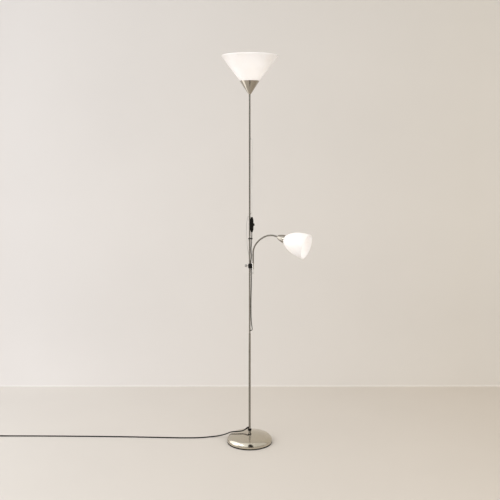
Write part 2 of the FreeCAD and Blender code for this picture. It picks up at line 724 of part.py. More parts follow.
def switch():
    cavity_depth = half_thickness - s.switch_wall
    cavity_width = s.switch_width - s.switch_side_wall * 2
    foot = s.switch_foot_height + cavity_foot
    left_y = s.switch_y - cavity_width / 2
    front_space = block("front_space", cavity_depth, cavity_width, cavity_length,
                        s.switch_x, left_y, foot)
    back_space = block("back_space", cavity_depth, cavity_width, cavity_length,
                       s.switch_x - cavity_depth, left_y, foot)
    window_length = s.rocker_length + s.rocker_gap * 2
    window_width = s.rocker_width + s.rocker_gap
    window = block("rocker_window", half_thickness, window_width, window_length,
                   s.switch_x + s.switch_wall, s.switch_y - window_width / 2,
                   rocker_height - window_length / 2)
    pin_length = cavity_width + s.rocker_pin_seat * 2
    pin_hole = rod("rocker_pin_hole", s.rocker_pin_radius + s.fit_gap, pin_length + s.fit_gap,
                   s.switch_x + rocker_pivot_x, s.switch_y - (pin_length + s.fit_gap) / 2,
                   rocker_height, ALONG_Y)
    screw_tools = []
    screws = []
    for index, offset in enumerate((s.screw_inset, s.switch_length - s.screw_inset)):
        height = s.switch_foot_height + offset
        # the housing tapers here, so the head sits where the sloping back begins
        back = end_half + (half_thickness - end_half) * (s.screw_inset / s.switch_taper)
        seat = s.switch_x - back + s.screw_head + s.screw_sink
        for gap, above, made in ((s.fit_gap, 2, screw_tools), (ZERO, 0, screws)):
            tag = ("screw_", "screw_hole_")[gap.value > 0] + str(index)
            shank = rod(tag + "_shank", s.screw_radius + gap, back + s.screw_reach + gap,
                        s.switch_x - back + s.screw_sink, s.switch_y, height, ALONG_X)
            head = rod(tag + "_head", s.screw_head_radius + gap, s.screw_head + above,
                       seat - s.screw_head - above, s.switch_y, height, ALONG_X)
            made.append(fuse(tag, shank, head))
    keep("switch_front", cut("switch_front", switch_shell("switch_front_shell", 1),
                             front_space, window, pin_hole, *screw_tools))
    keep("switch_back", cut("switch_back", switch_shell("switch_back_shell", -1),
                            back_space, *screw_tools))
    keep("switch_screws", several("switch_screws", *screws))
    contacts = [
        block("contact_" + str(index), s.contact_thickness, s.contact_width, s.contact_length,
              s.switch_x - cavity_depth,
              s.switch_y + s.contact_spacing * side - s.contact_width / 2,
              rocker_height - s.contact_length / 2)
        for index, side in enumerate((-0.5, 0.5))]
    keep("switch_contacts", several("switch_contacts", *contacts))
    rocker()


def rocker():
    """The rocker, drawn about its pin and tipped to one side at rest."""
    half = s.rocker_length / 2
    face = s.rocker_pivot_depth
    cap = padded("rocker_cap", "XZ_Plane", [
        (s.rocker_root * -1, half * -0.6),
        (face, -half, s.rocker_crown_radius, 1),
        (face, half),
        (s.rocker_root * -1, half * 0.6),
    ], s.rocker_width)
    pin_length = s.switch_width - s.switch_side_wall * 2 + s.rocker_pin_seat * 2
    pin = rod("rocker_pin", s.rocker_pin_radius, pin_length, y=-pin_length / 2, turn=ALONG_Y)
    whole = fuse("switch_rocker", cap, pin)
    tilt = Rotation(Vector(0, 1, 0), s.rocker_tilt.value)
    keep("switch_rocker", place(whole, s.switch_x + rocker_pivot_x, s.switch_y,
                                rocker_height, tilt))


# ---------------------------------------------------------------- clip and clamp

ARM_TURN = Rotation(Vector(0, 0, 1), s.arm_azimuth.value)
arm_frame = Placement(Vector(0, 0, 0), ARM_TURN)
arm_x = s.clamp_right + s.ferrule_radius
clip_height = s.switch_foot_height - s.clip_drop
clamp_foot_height = s.switch_foot_height - s.clamp_drop
ferrule_foot_height = clamp_foot_height - s.ferrule_drop


def cable_clip():
    """A flat clip with a hole for the pole and one for the black lead."""
    left = s.tube_radius + s.clip_margin
    right = s.clip_right + s.black_lead_diameter / 2 + s.clip_margin
    plate = block("clip_plate", left + right, s.clip_width, s.clip_thickness,
                  -left, -s.clip_width / 2, clip_height)
    holes = [
        rod("clip_pole_hole", s.tube_radius + s.fit_gap, s.clip_thickness, z=clip_height),
        rod("clip_right_hole", s.black_lead_diameter / 2 + s.fit_gap, s.clip_thickness,
            x=s.clip_right, z=clip_height)]
    keep("cable_clip", cut("cable_clip", plate, *holes))


def arm_clamp():
    """Block that turns on a plastic liner, which slides on the pole."""
    liner_radius = s.tube_radius + s.fit_gap + s.liner_wall
    liner_foot = clamp_foot_height - s.liner_flange
    liner_top = clamp_foot_height + s.clamp_height + s.liner_flange
    keep("clamp_liner", turned("clamp_liner", [
        (s.tube_radius + s.fit_gap, liner_foot),
        (s.liner_flange_radius, liner_foot),
        (s.liner_flange_radius, clamp_foot_height - s.fit_gap),
        (liner_radius, clamp_foot_height - s.fit_gap),
        (liner_radius, liner_top),
        (s.tube_radius + s.fit_gap, liner_top),
    ]))
    half = s.clamp_half_depth
    outline = [(ZERO, -half), (s.clamp_right, -half), (s.clamp_right, half),
               (ZERO, half, half, 1), (-half, ZERO, half, 1)]
    body = padded("clamp_block", "XY_Plane", outline, s.clamp_height)
    round_edges(body, s.clamp_edge_radius,
                lambda middle: abs(middle.z) < 1e-6 and middle.x > s.clamp_half_depth.value)
    place(body, z=clamp_foot_height + s.clamp_height / 2)
    mid = clamp_foot_height + s.clamp_height / 2
    tools = [
        rod("clamp_bore", liner_radius + s.fit_gap, s.clamp_height, z=clamp_foot_height),
        rod("knob_hole", s.knob_shank_radius + s.fit_gap, half, x=-half, z=mid, turn=ALONG_X),
        rod("stud_hole", s.ferrule_stud_radius + s.fit_gap, s.ferrule_stud_reach,
            x=s.clamp_right - s.ferrule_stud_reach, z=mid, turn=ALONG_X)]
    in_arm_frame("arm_clamp", cut("arm_clamp", body, *tools))
    clamp_screw(mid, liner_radius)
    foot = ferrule_foot_height
    ferrule = fuse("ferrule_body",
                   rod("ferrule_sleeve", s.ferrule_radius, s.ferrule_length, x=arm_x, z=foot),
                   rod("ferrule_stud", s.ferrule_stud_radius,
                       s.ferrule_stud_reach + s.ferrule_radius,
                       x=s.clamp_right - s.ferrule_stud_reach, z=mid, turn=ALONG_X))
    in_arm_frame("arm_ferrule", cut(
        "arm_ferrule", ferrule,
        rod("ferrule_hole", s.ferrule_bore, s.ferrule_length, x=arm_x, z=foot)))


def clamp_screw(mid, liner_radius):
    """Thumb screw whose fluted knob stands out on the side away from the arm."""
    tip = liner_radius + s.knob_tip_gap
    knob_end = s.knob_reach + s.knob_thickness
    shank = rod("screw_shank", s.knob_shank_radius, knob_end - tip,
                x=-knob_end, z=mid, turn=ALONG_X)
    knob = rod("screw_knob", s.knob_radius, s.knob_thickness, x=-knob_end, z=mid,
               turn=ALONG_X)
    flutes = []
    lobes = int(s.knob_lobes.value)
    for index in range(lobes):
        angle = as_size(index) / s.knob_lobes * 360
        flutes.append(rod("knob_flute_" + str(index), s.knob_lobe_radius, s.knob_thickness,
                          -knob_end, s.knob_radius * cosine(angle),
                          mid + s.knob_radius * sine(angle), ALONG_X))
    in_arm_frame("clamp_screw", fuse("clamp_screw", shank, cut("knob", knob, *flutes)))


def in_arm_frame(name, obj):
    """Keeps a piece that was drawn in the arm's own plane, turned to the arm's azimuth."""
    obj.Placement = arm_frame
    bind(obj, "Placement.Rotation.Angle", s.arm_azimuth)
    return keep(name, obj)


# ---------------------------------------------------------------- bendable neck

neck_foot = ferrule_foot_height + s.ferrule_length


def neck_pieces():
    """The neck's centre line in the arm's plane: (length, turn in degrees, radius)."""
    arcs = [(s.neck_arc_low, s.neck_turn_low), (s.neck_arc_mid, s.neck_turn_mid),
            (s.neck_arc_high, s.neck_turn_high)]
    pieces = [(s.neck_straight.value, 0, 0)]
    for radius, turn in arcs:
        pieces.append((radius.value * math.radians(turn.value), turn.value, radius.value))
    pieces.append((s.neck_end_straight.value, 0, 0))
    return pieces


def neck_at(distance):
    """Point and heading of the neck's centre line at a distance from its foot."""
    point = Vector(arm_x.value, 0, neck_foot.value)
    heading = 90.0
    for length, turn, radius in neck_pieces():
        step = min(distance, length)
        if radius:
            angle = math.radians(heading)
            centre = point + Vector(math.sin(angle), 0, -math.cos(angle)) * radius
            heading -= turn * step / length
            angle = math.radians(heading)
            point = centre + Vector(-math.sin(angle), 0, math.cos(angle)) * radius
        else:
            angle = math.radians(heading)
            point = point + Vector(math.cos(angle), 0, math.sin(angle)) * step
        distance -= step
        if distance <= 1e-9:
            break
    return point, heading


neck_length = sum(piece[0] for piece in neck_pieces())
NECK_LINKS = 4
# the neck's links meet at these distances, and each bends at its middle
link_ends = [neck_length * index / NECK_LINKS for index in range(NECK_LINKS + 1)]


def neck_wire(start, end):
    """The centre line between two distances, as straight lines and arcs."""
    marks = [0.0]
    for length, _, _ in neck_pieces():
        marks.append(marks[-1] + length)
    inner = [mark for mark in marks if start + 1e-6 < mark < end - 1e-6]
    edges = []
    for first, last in zip([start] + inner, inner + [end]):
        a, heading_a = neck_at(first)
        b, heading_b = neck_at(last)
        if abs(heading_a - heading_b) < 1e-6:
            edges.append(Part.LineSegment(a, b).toShape())
        else:
            edges.append(Part.Arc(a, neck_at((first + last) / 2)[0], b).toShape())
    return Part.Wire(edges)


def bendable_neck():
    for index in range(NECK_LINKS):
        start, end = link_ends[index], link_ends[index + 1]
        wire = neck_wire(start, end)
        tube_solid, ratio = swept(wire, s.neck_radius.value, s.neck_bore.value)
        print("gooseneck", index + 1, "volume ratio", round(ratio, 4))
        name = "gooseneck_" + str(index + 1)
        keep(name, feature(name, tube_solid)).Placement = arm_frame
        if index == 0:
            below = neck_at(0)[0] - Vector(0, 0, s.ferrule_length.value)
            wire = Part.Wire([Part.LineSegment(below, neck_at(0)[0]).toShape()] + wire.Edges)
        if index == NECK_LINKS - 1:
            tip, heading = neck_at(neck_length)
            angle = math.radians(heading)
            inside = tip + Vector(math.cos(angle), 0, math.sin(angle)) * s.head_cup_wall.value
            wire = Part.Wire(wire.Edges + [Part.LineSegment(tip, inside).toShape()])
        core, _ = swept(wire, s.neck_wire_radius.value)
        name = "neck_wire_" + str(index + 1)
        keep(name, feature(name, core)).Placement = arm_frame
        bend, heading = neck_at((start + end) / 2)
        print("bend", index + 1, "at", [round(c, 3) for c in arm_frame.multVec(bend)])


# ---------------------------------------------------------------- reading head

def head_frame():
    """Placement whose +Z runs along the reading head's axis from the neck's end."""
    tip, heading = neck_at(neck_length)
    along = Vector(math.cos(math.radians(heading)), 0, math.sin(math.radians(heading)))
    return arm_frame.multiply(Placement(tip, Rotation(Vector(0, 0, 1), along)))


def on_head(name, obj):
    obj.Placement = head_frame()
    return keep(name, obj)


def reading_head():
    cup_taper = (s.head_cup_mouth - s.head_cup_root) / s.head_cup_length
    wall = s.head_cup_wall
    on_head("reading_cup", turned("reading_cup", [
        (s.head_hole_radius, ZERO),
        (s.head_cup_root, ZERO, s.head_cup_bulge, 1),
        (s.head_cup_mouth, s.head_cup_length),
        (s.head_cup_mouth - wall, s.head_cup_length, s.head_cup_bulge - wall, -1),
        (s.head_cup_root + wall * cup_taper - wall, wall),
        (s.head_hole_radius, wall),
    ]))
    neck_top = wall + s.head_socket_neck
    body_foot = neck_top + s.head_socket_taper
    flange_top = s.head_flange_height + s.head_flange
    on_head("reading_socket", turned("reading_socket", [
        (s.head_hole_radius, wall),
        (s.head_socket_root, wall),
        (s.head_socket_root, neck_top),
        (s.head_socket_radius, body_foot),
        (s.head_socket_radius, s.head_flange_height),
        (s.head_flange_radius, s.head_flange_height),
        (s.head_flange_radius, flange_top),
        (s.head_socket_radius, flange_top),
        (s.head_socket_radius, wall + s.head_socket_length),
        (s.head_socket_cavity, wall + s.head_socket_length),
        (s.head_socket_cavity, wall + s.head_cavity_floor),
        (s.head_hole_radius, wall + s.head_cavity_floor),
    ]))
    floor = flange_top + s.fit_gap
    ring_foot = floor + s.shade_wall + s.fit_gap
    on_head("reading_ring", turned("reading_ring", [
        (s.head_socket_radius + s.fit_gap, ring_foot),
        (s.head_ring_radius, ring_foot),
        (s.head_ring_radius, ring_foot + s.head_ring_height),
        (s.head_socket_radius + s.fit_gap, ring_foot + s.head_ring_height),
    ]))
    reading_shade(floor)
    reading_bulb(wall + s.head_cavity_floor)


def reading_shade(floor):
    """Bell shade: a flat floor, a short neck, then two arcs that meet smoothly."""
    mouth = s.head_cup_length + s.shade_length
    side_centre = s.shade_mouth_radius - s.shade_side_radius
    reach = s.shade_length - s.shade_join_height
    join_up = root(s.shade_side_radius * s.shade_side_radius - reach * reach)
    join_radius_out = side_centre + join_up
    join_height_out = s.head_cup_length + s.shade_join_height
    chord_r = s.shade_neck_radius - join_radius_out
    chord_h = as_size(0) - s.shade_join_height
    # radius of the shoulder arc that leaves the side arc smoothly and ends at the neck
    inward = (chord_h * reach - chord_r * join_up) / s.shade_side_radius
    shoulder = (chord_r * chord_r + chord_h * chord_h) / inward / 2
    shoulder = Size(abs(shoulder.value), "abs(" + shoulder.formula + ")")
    wall = s.shade_wall
    scale = (s.shade_side_radius - wall) / s.shade_side_radius
    inner_join_radius = side_centre + join_up * scale
    inner_join_height = mouth - reach * scale
    on_head("reading_shade", turned("reading_shade", [
        (s.head_socket_radius + s.head_ring_gap, floor),
        (s.shade_floor_radius, floor),
        (s.shade_neck_radius, s.head_cup_length, shoulder, 1),
        (join_radius_out, join_height_out, s.shade_side_radius, 1),
        (s.shade_mouth_radius, mouth),
        (s.shade_mouth_radius - wall, mouth, s.shade_side_radius - wall, -1),
        (inner_join_radius, inner_join_height, shoulder - wall, -1),
        (s.shade_neck_radius - wall, s.head_cup_length + wall * 0.4),
        (s.shade_floor_radius - wall, floor + wall),
        (s.head_socket_radius + s.head_ring_gap, floor + wall),
    ]))


def reading_bulb(cavity_floor):
    cap_foot = cavity_floor + s.fit_gap * 6
    cap_top = cap_foot + s.small_cap_height
    on_head("reading_bulb_cap", turned("reading_bulb_cap", [
        (ZERO, cap_foot),
        (s.small_cap_radius * 0.4, cap_foot),
        (s.small_cap_radius, cap_foot + s.small_cap_radius * 0.4),
        (s.small_cap_radius, cap_top),
        (ZERO, cap_top),
    ]))
    centre = cap_top + s.small_bulb_centre
    reach = s.small_bulb_radius * cosine(s.bulb_shoulder_angle * 2)
    shoulder = centre - s.small_bulb_radius * sine(s.bulb_shoulder_angle * 2)
    inside = s.small_bulb_radius - s.bulb_wall
    on_head("reading_bulb", turned("reading_bulb", [
        (s.small_neck_radius - s.bulb_wall, cap_top),
        (s.small_neck_radius, cap_top),
        (s.small_neck_radius, cap_top + s.small_bulb_neck),
        (reach, shoulder, s.small_bulb_radius, 1),
        (ZERO, centre + s.small_bulb_radius),
        (ZERO, centre + inside, inside, -1),
        (inside * cosine(s.bulb_shoulder_angle * 2),
         centre - inside * sine(s.bulb_shoulder_angle * 2)),
        (s.small_neck_radius - s.bulb_wall, cap_top + s.small_bulb_neck),
    ]))


# ---------------------------------------------------------------- leads outside the pole

def between(below, above, share):
    return below + (above - below) * share


def outside_leads():
    """The three leads beside the pole and the one that goes up into the bendable neck."""
    # widths beside the pole are written for a pole of 8 mm
    unit = s.tube_radius.value / 4

    def at(x, y, z):
        return (x * unit, y * unit, z)

    face = s.tube_radius.value + s.grommet_flange.value
    low = low_grommet_height.value
    high = high_grommet_height.value
    foot = s.switch_foot_height.value
    top = foot + s.switch_length.value
    clamp = clamp_foot_height.value
    x = s.switch_x.value
    y = s.switch_y.value
    clip_x = s.clip_right.value
    clip_low = clip_height.value - 4 * unit
    clip_high = clip_height.value + s.clip_thickness.value + 4 * unit
    # black lead up to the switch: it hugs the pole, passes behind the clamp and swings out
    lead("supply_lead", [
        (face, 0, low), (face + 5.5 * unit, 0, low),
        (face + 6.6 * unit, 0.2 * unit, low + 10 * unit),
        (face + 3.4 * unit, 0.4 * unit, low + 26 * unit),
        at(6.6, 0.3, between(low, clamp, 0.1905)), at(6.2, 0.2, between(low, clamp, 0.3401)),
        at(6.3, 0.6, between(low, clamp, 0.5034)), at(7.6, 1.2, between(low, clamp, 0.6633)),
        at(8.4, 4.0, between(low, clamp, 0.8095)), at(7.4, 11.2, clamp - 19 * unit),
        at(5.9, 11.8, clamp + 9 * unit), at(6.2, 11.4, between(clamp, foot, 0.2036)),
        at(9.6, 6.4, between(clamp, foot, 0.3234)), at(6.4, 2.2, between(clamp, foot, 0.4491)),
        at(7.3, 1.0, between(clamp, foot, 0.6048)), (clip_x, 0, clip_low),
        (clip_x, -0.02 * unit, clip_high), (x - 0.1 * unit, y * 0.42, foot - 19 * unit),
        (x, y, foot - 10 * unit), (x, y, foot)], s.black_lead_diameter.value)
    # pale lead from the uplighter down to the switch, in slack waves
    lead("uplighter_lead", [
        (face, 0, high), (face + 6.4 * unit, 0, high),
        (face + 8.2 * unit, -0.8 * unit, high - 13 * unit),
        at(12.6, -2.0, between(top, high, 0.8803)), at(9.6, -3.6, between(top, high, 0.7863)),
        at(12.6, -5.4, between(top, high, 0.6581)), at(10.4, -7.4, between(top, high, 0.4986)),
        at(9.0, -9.6, between(top, high, 0.3447)), at(10.4, -14.0, between(top, high, 0.1966)),
        (x, y - 3.1 * unit, between(top, high, 0.0769)), (x, y - 3.1 * unit, top)],
        s.pale_lead_diameter.value)
    # pale lead back down to the reading arm: behind the pole, out to the left, behind again
    sleeve = Vector(*at(8.2, 17.4, clamp - 5 * unit))
    down = Vector(0, 0, -1)
    lead("reading_lead", [
        (x, y + 3.4 * unit, top), (x, y + 3.4 * unit, top + 8 * unit),
        at(9.4, -4.0, top + 15 * unit), at(6.0, 4.6, top + 14 * unit),
        at(0.4, 8.6, top + 9.5 * unit), at(-7.2, 8.0, top), at(-12.4, 5.0, top - 13 * unit),
        at(-14.6, 2.4, top - 34 * unit), at(-14.9, 1.0, foot + 5 * unit),
        at(-13.6, 0.6, between(clamp, foot, 0.8263)),
        at(-11.4, 2.6, between(clamp, foot, 0.6228)),
        at(-8.0, 8.0, between(clamp, foot, 0.4671)),
        at(-3.6, 15.0, between(clamp, foot, 0.3234)),
        at(1.5, 18.6, between(clamp, foot, 0.1796)), at(7.4, 18.4, clamp + 16 * unit),
        sleeve - down * 8 * unit, sleeve], s.pale_lead_diameter.value)
    keep("lead_sleeve", rod("lead_sleeve_body", s.sleeve_radius, s.sleeve_length,
                            *sleeve, Rotation(Vector(0, 0, 1), down)))
    sleeve_end = sleeve + down * s.sleeve_length.value
    ferrule = arm_frame.multVec(Vector(arm_x.value, 0, ferrule_foot_height.value))
    lead("arm_lead", [
        sleeve_end, sleeve_end + down * 6 * unit, at(13.5, 12.0, clamp - 27.5 * unit),
        at(18.2, 1.5, clamp - 28 * unit),
        (ferrule.x, ferrule.y, ferrule.z - 12 * unit), tuple(ferrule)],
        s.pale_lead_diameter.value)


# ---------------------------------------------------------------- mains cord

def cord_level():
    return s.cord_diameter.value / 2


def cord_route():
    """From the strain relief over the dome's back left edge and along the floor."""
    level = cord_level()
    slope = math.radians(s.inlet_slope.value)
    length = s.relief_length.value
    start = (-s.low_tube_radius.value - length * math.cos(slope), 0,
             s.inlet_height.value - length * math.sin(slope))
    second = (start[0] - 12 * math.cos(slope), 0, start[2] - 12 * math.sin(slope))
    lifted = level + s.cord_lift.value
    end_x = s.coil_x.value + s.cord_diameter.value
    return [
        start, second, (-44, 1.5, 51), (-60, 7, 47.4), (-78, 20, 41.6),
        (-94, 34, 33), (-110, 43, 22), (-128, 49.5, 14), (-147, 53.5, 8),
        (-168, 55, 4.2), (-192, 52.5, level), (-223, 44.5, level), (-264, 40, level),
        (-320, 39.6, level), (-395, 43, level), (-475, 47.4, level), (-555, 51.3, level),
        (-635, 54.6, level), (-715, 57.3, level), (-795, 59.5, level), (-875, 61.3, level),
        (-955, 62.6, level), (-1035, 63.5, level), (-1110, 64.1, level),
        (-1170, 64.4, level), (-1214, s.cord_run_y.value, lifted),
        (end_x, s.cord_run_y.value, lifted)]


def coil_point(turns):
    """Point of the coil after some turns: a spiral in, one step up, and a spiral out."""
    total = s.coil_turns.value
    pitch = s.coil_pitch.value
    radius = s.coil_radius.value - pitch * min(turns, total - turns)
    climb = min(max((turns - (total / 2 - 0.25)) / 0.5, 0), 1)
    level = cord_level() + s.cord_lift.value
    height = level + pitch * (1 - math.cos(math.pi * climb)) / 2
    angle = math.radians(90 + 360 * turns)
    centre = Vector(s.coil_x.value, s.cord_run_y.value - s.coil_radius.value, 0)
    return centre + Vector(radius * math.cos(angle), radius * math.sin(angle), height)


def coil_way(turns):
    total = s.coil_turns.value
    if turns <= 0 or turns >= total:
        return Vector(-1, 0, 0)
    step = 1e-4
    return (coil_point(turns + step) - coil_point(turns - step)).normalize()


def arc_from(start, way, end):
    """The arc that leaves start along way and ends at end."""
    chord = end - start
    side = chord - way * chord.dot(way)
    if side.Length < 1e-7:
        return Part.LineSegment(start, end).toShape()
    normal = side * (1 / side.Length)
    radius = chord.dot(chord) / (2 * chord.dot(normal))
    centre = start + normal * radius
    out = ((start + end) * 0.5 - centre).normalize()
    return Part.Arc(start, centre + out * radius, end).toShape()


def biarc(start, way, end, end_way):
    """Two arcs that join smoothly between two points with given directions."""
    span = end - start
    both = way + end_way
    a = 2 * (1 - way.dot(end_way))
    b = span.dot(both)
    if a < 1e-9:
        reach = span.dot(span) / (2 * b)
    else:
        reach = (-b + math.sqrt(b * b + a * span.dot(span))) / a
    middle = (start + way * reach + end - end_way * reach) * 0.5
    first = arc_from(start, way, middle)
    last = arc_from(end, end_way * -1, middle)
    return [first, last]


def mains_coil():
    total = s.coil_turns.value
    steps = int(round(total * 4))
    diameter = s.cord_diameter.value
    first, last = coil_point(0), coil_point(total)
    lead_in = Part.LineSegment(first + Vector(diameter, 0, 0), first).toShape()
    edges = [lead_in]
    for index in range(steps):
        here, there = total * index / steps, total * (index + 1) / steps
        edges += biarc(coil_point(here), coil_way(here), coil_point(there), coil_way(there))
    tail = last - Vector(s.coil_lead_out.value, 0, 0)
    edges.append(Part.LineSegment(last, tail).toShape())
    wire = Part.Wire(Part.__sortEdges__(edges))
    solid, ratio = swept(wire, diameter / 2)
    print("mains_coil length", round(wire.Length, 1), "volume ratio", round(ratio, 4),
          "least gap", round(least_gap(wire, diameter), 2))
    keep("mains_coil", feature("mains_coil", solid))
    return tail


def least_gap(wire, diameter):
    """The least distance between turns, less the diameter, on points along the wire."""
    points = wire.discretize(Distance=2.0)
    spacing = wire.Length / (len(points) - 1)
    apart = int(math.ceil(4 * diameter / spacing))
    least = min((points[i] - points[j]).Length
                for i in range(len(points)) for j in range(i + apart, len(points)))
    return least - diameter


def coil_tie():
    """A flat band round the turns on the viewer's side of the coil."""
    pitch = s.coil_pitch
    outer = s.coil_radius - pitch * 0.5 + s.cord_diameter / 2 + s.tie_gap
    inner = s.coil_radius - pitch * 1.5 - s.cord_diameter / 2 - s.tie_gap
    centre_y = s.cord_run_y - s.coil_radius
    height = s.cord_lift + pitch + s.cord_diameter + s.tie_gap
    wall = s.tie_thickness
    x = s.coil_x - s.tie_width / 2
    outside = block("tie_outside", s.tie_width, outer - inner + wall * 2, height + wall,
                    x, centre_y - outer - wall, ZERO)
    inside = block("tie_inside", s.tie_width, outer - inner, height - wall,
                   x, centre_y - outer, wall)
    keep("coil_tie", cut("coil_tie", outside, inside))


def stadium(x, width, height, level):
    """A cross section of the plug: straight sides and rounded ends, in a plane of even X."""
    radius = height / 2
    reach = width / 2 - radius
    y = s.cord_run_y.value
    low_left = Vector(x, y - reach, level - radius)
    low_right = Vector(x, y + reach, level - radius)
    high_right = Vector(x, y + reach, level + radius)
    high_left = Vector(x, y - reach, level + radius)
    return Part.Wire([
        Part.LineSegment(low_left, low_right).toShape(),
        Part.Arc(low_right, Vector(x, y + reach + radius, level), high_right).toShape(),
        Part.LineSegment(high_right, high_left).toShape(),
        Part.Arc(high_left, Vector(x, y - reach - radius, level), low_left).toShape()])


def plug(tail):
    """Generic two-pin plug lying on the floor beside the coil."""
    level = tail.z
    height = 2 * level
    length = s.plug_length.value
    tail_height = s.plug_tail_radius.value * 2
    sections = [
        stadium(tail.x, tail_height + 1, tail_height, level),
        stadium(tail.x - length * 0.36, s.plug_waist_width.value, height * 0.72, level),
        stadium(tail.x - length * 0.62, s.plug_width.value * 0.86, height * 0.98, level),
        stadium(tail.x - length, s.plug_width.value, height * 0.98, level)]
    keep("plug_body", feature("plug_body", Part.makeLoft(sections, True, True)))
    pins = []
    for index, side in enumerate((-0.5, 0.5)):
        pins.append(rod("pin_" + str(index), s.pin_radius, s.pin_length,
                        as_size(tail.x - length) - s.pin_length,
                        s.cord_run_y + s.pin_spacing * side, level, ALONG_X))
    keep("plug_pins", several("plug_pins", *pins))


# ---------------------------------------------------------------- build and write

base_cover()
base_weight()
base_fixings()
pole()
pole_entries()
inner_leads()
uplighter_cup()
uplighter_socket()
uplighter_bowl()
uplighter_bulb()
switch()
cable_clip()
arm_clamp()
bendable_neck()
reading_head()
outside_leads()
lead("mains_cord", cord_route(), s.cord_diameter.value)
coil_tail = mains_coil()
coil_tie()
plug(coil_tail)
doc.recompute()

for obj in doc.Objects:
    if "Invalid" in obj.State or "Error" in obj.State:
        raise RuntimeError(obj.Name + " failed: " + str(obj.State))
for name, obj in parts.items():
    shape = obj.Shape
    if shape.isNull() or not shape.isValid() or shape.Volume <= 0:
        raise RuntimeError(name + " has no valid solid")

os.makedirs("parts", exist_ok=True)
for name, obj in parts.items():
    obj.Shape.exportStep(os.path.join("parts", name + ".step"))
print(len(parts), "sub-parts written")
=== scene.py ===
import math

import bpy
from mathutils import Matrix, Vector


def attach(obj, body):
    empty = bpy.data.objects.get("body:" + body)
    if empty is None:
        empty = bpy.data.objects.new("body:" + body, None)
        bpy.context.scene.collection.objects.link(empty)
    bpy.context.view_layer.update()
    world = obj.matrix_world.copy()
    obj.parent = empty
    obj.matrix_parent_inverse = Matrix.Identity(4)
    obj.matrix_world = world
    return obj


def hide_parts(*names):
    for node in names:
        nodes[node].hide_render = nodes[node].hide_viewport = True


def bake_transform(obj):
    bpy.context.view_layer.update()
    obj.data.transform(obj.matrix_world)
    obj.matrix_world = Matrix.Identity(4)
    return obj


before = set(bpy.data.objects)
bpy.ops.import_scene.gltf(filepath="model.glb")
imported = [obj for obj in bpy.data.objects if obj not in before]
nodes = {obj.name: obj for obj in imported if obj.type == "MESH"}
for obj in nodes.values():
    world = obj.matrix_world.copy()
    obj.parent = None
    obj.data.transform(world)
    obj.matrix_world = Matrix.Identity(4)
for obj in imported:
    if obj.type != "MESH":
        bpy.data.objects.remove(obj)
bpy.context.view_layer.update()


def metres(points):
    return [Vector(p) / 1000 for p in points]


def addObject(name, data):
    obj = bpy.data.objects.new(name, data)
    bpy.context.scene.collection.objects.link(obj)
    return obj


cameraSetup = dict(place=(0.0017, -3.4246, 1.386), pitch=82.195, lens=54.39, sensor=36,
                   reach=60)

cameraData = bpy.data.cameras.new("camera")
cameraData.sensor_width = cameraSetup["sensor"]
cameraData.lens = cameraSetup["lens"]
cameraData.clip_end = cameraSetup["reach"]
camera = addObject("camera", cameraData)
camera.location = cameraSetup["place"]
camera.rotation_euler = (math.radians(cameraSetup["pitch"]), 0, 0)
bpy.context.scene.camera = camera

# the leads' routes and sizes are in millimetres, as in the part's source
mains = dict(
    diameter=5.5, lifted=3.65, runY=64.2,
    coilX=-1262, coilRadius=34.5, pitch=6.1, turns=3, perTurn=16, leadOut=36,
    climbTurns=0.5, swellPower=0.7,
)
mainsRoute = [
    (-19.56, 0, 61.42), (-29.27, 0, 54.37), (-44, 1.5, 51), (-60, 7, 47.4),
    (-78, 20, 41.6), (-94, 34, 33), (-110, 43, 22), (-128, 49.5, 14), (-147, 53.5, 8),
    (-168, 55, 4.2), (-192, 52.5, 2.75), (-223, 44.5, 2.75), (-264, 40, 2.75), (-320, 39.6, 2.75),
    (-395, 43, 2.75), (-475, 47.4, 2.75), (-555, 51.3, 2.75), (-635, 54.6, 2.75),
    (-715, 57.3, 2.75), (-795, 59.5, 2.75), (-875, 61.3, 2.75), (-955, 62.6, 2.75),
    (-1035, 63.5, 2.75), (-1110, 64.1, 2.75), (-1170, 64.4, 2.75), (-1214, 64.2, 3.65),
    (-1250, 64.2, 3.65),
]
supply = dict(diameter=3.8, points=[
    (5.6, 0, 540), (11.1, 0, 540), (12.2, 0.2, 550), (9.0, 0.4, 566), (6.6, 0.3, 596),
    (6.2, 0.2, 640), (6.3, 0.6, 688), (7.6, 1.2, 735), (8.4, 4.0, 778), (7.4, 11.2, 815),
    (5.9, 11.8, 843), (6.2, 11.4, 868), (9.6, 6.4, 888), (6.4, 2.2, 909), (7.3, 1.0, 935),
    (9.4, 0, 963), (9.4, -0.02, 975), (9.8, -6.64, 982), (9.9, -15.8, 991),
    (9.9, -15.8, 1001)])
uplighter = dict(diameter=3.2, points=[
    (5.6, 0, 1420), (12.0, 0, 1420), (13.8, -0.8, 1407), (12.6, -2.0, 1378),
    (9.6, -3.6, 1345), (12.6, -5.4, 1300), (10.4, -7.4, 1244), (9.0, -9.6, 1190),
    (10.4, -14.0, 1138), (9.9, -18.9, 1096), (9.9, -18.9, 1069)])
reading = dict(diameter=3.2, points=[
    (9.9, -12.4, 1069), (9.9, -12.4, 1077), (9.4, -4.0, 1084), (6.0, 4.6, 1083),
    (0.4, 8.6, 1078.5), (-7.2, 8.0, 1069), (-12.4, 5.0, 1056), (-14.6, 2.4, 1035),
    (-14.9, 1.0, 1006), (-13.6, 0.6, 972), (-11.4, 2.6, 938),
    (-8.0, 8.0, 912), (-3.6, 15.0, 888), (1.5, 18.6, 864), (7.4, 18.4, 850),
    (8.2, 17.4, 837), (8.2, 17.4, 829)])
arm = dict(diameter=3.2, points=[
    (8.2, 17.4, 821), (8.2, 17.4, 815), (13.5, 12, 806.5), (18.2, 1.5, 806),
    (15.73, -7.67, 817), (15.73, -7.67, 829)])


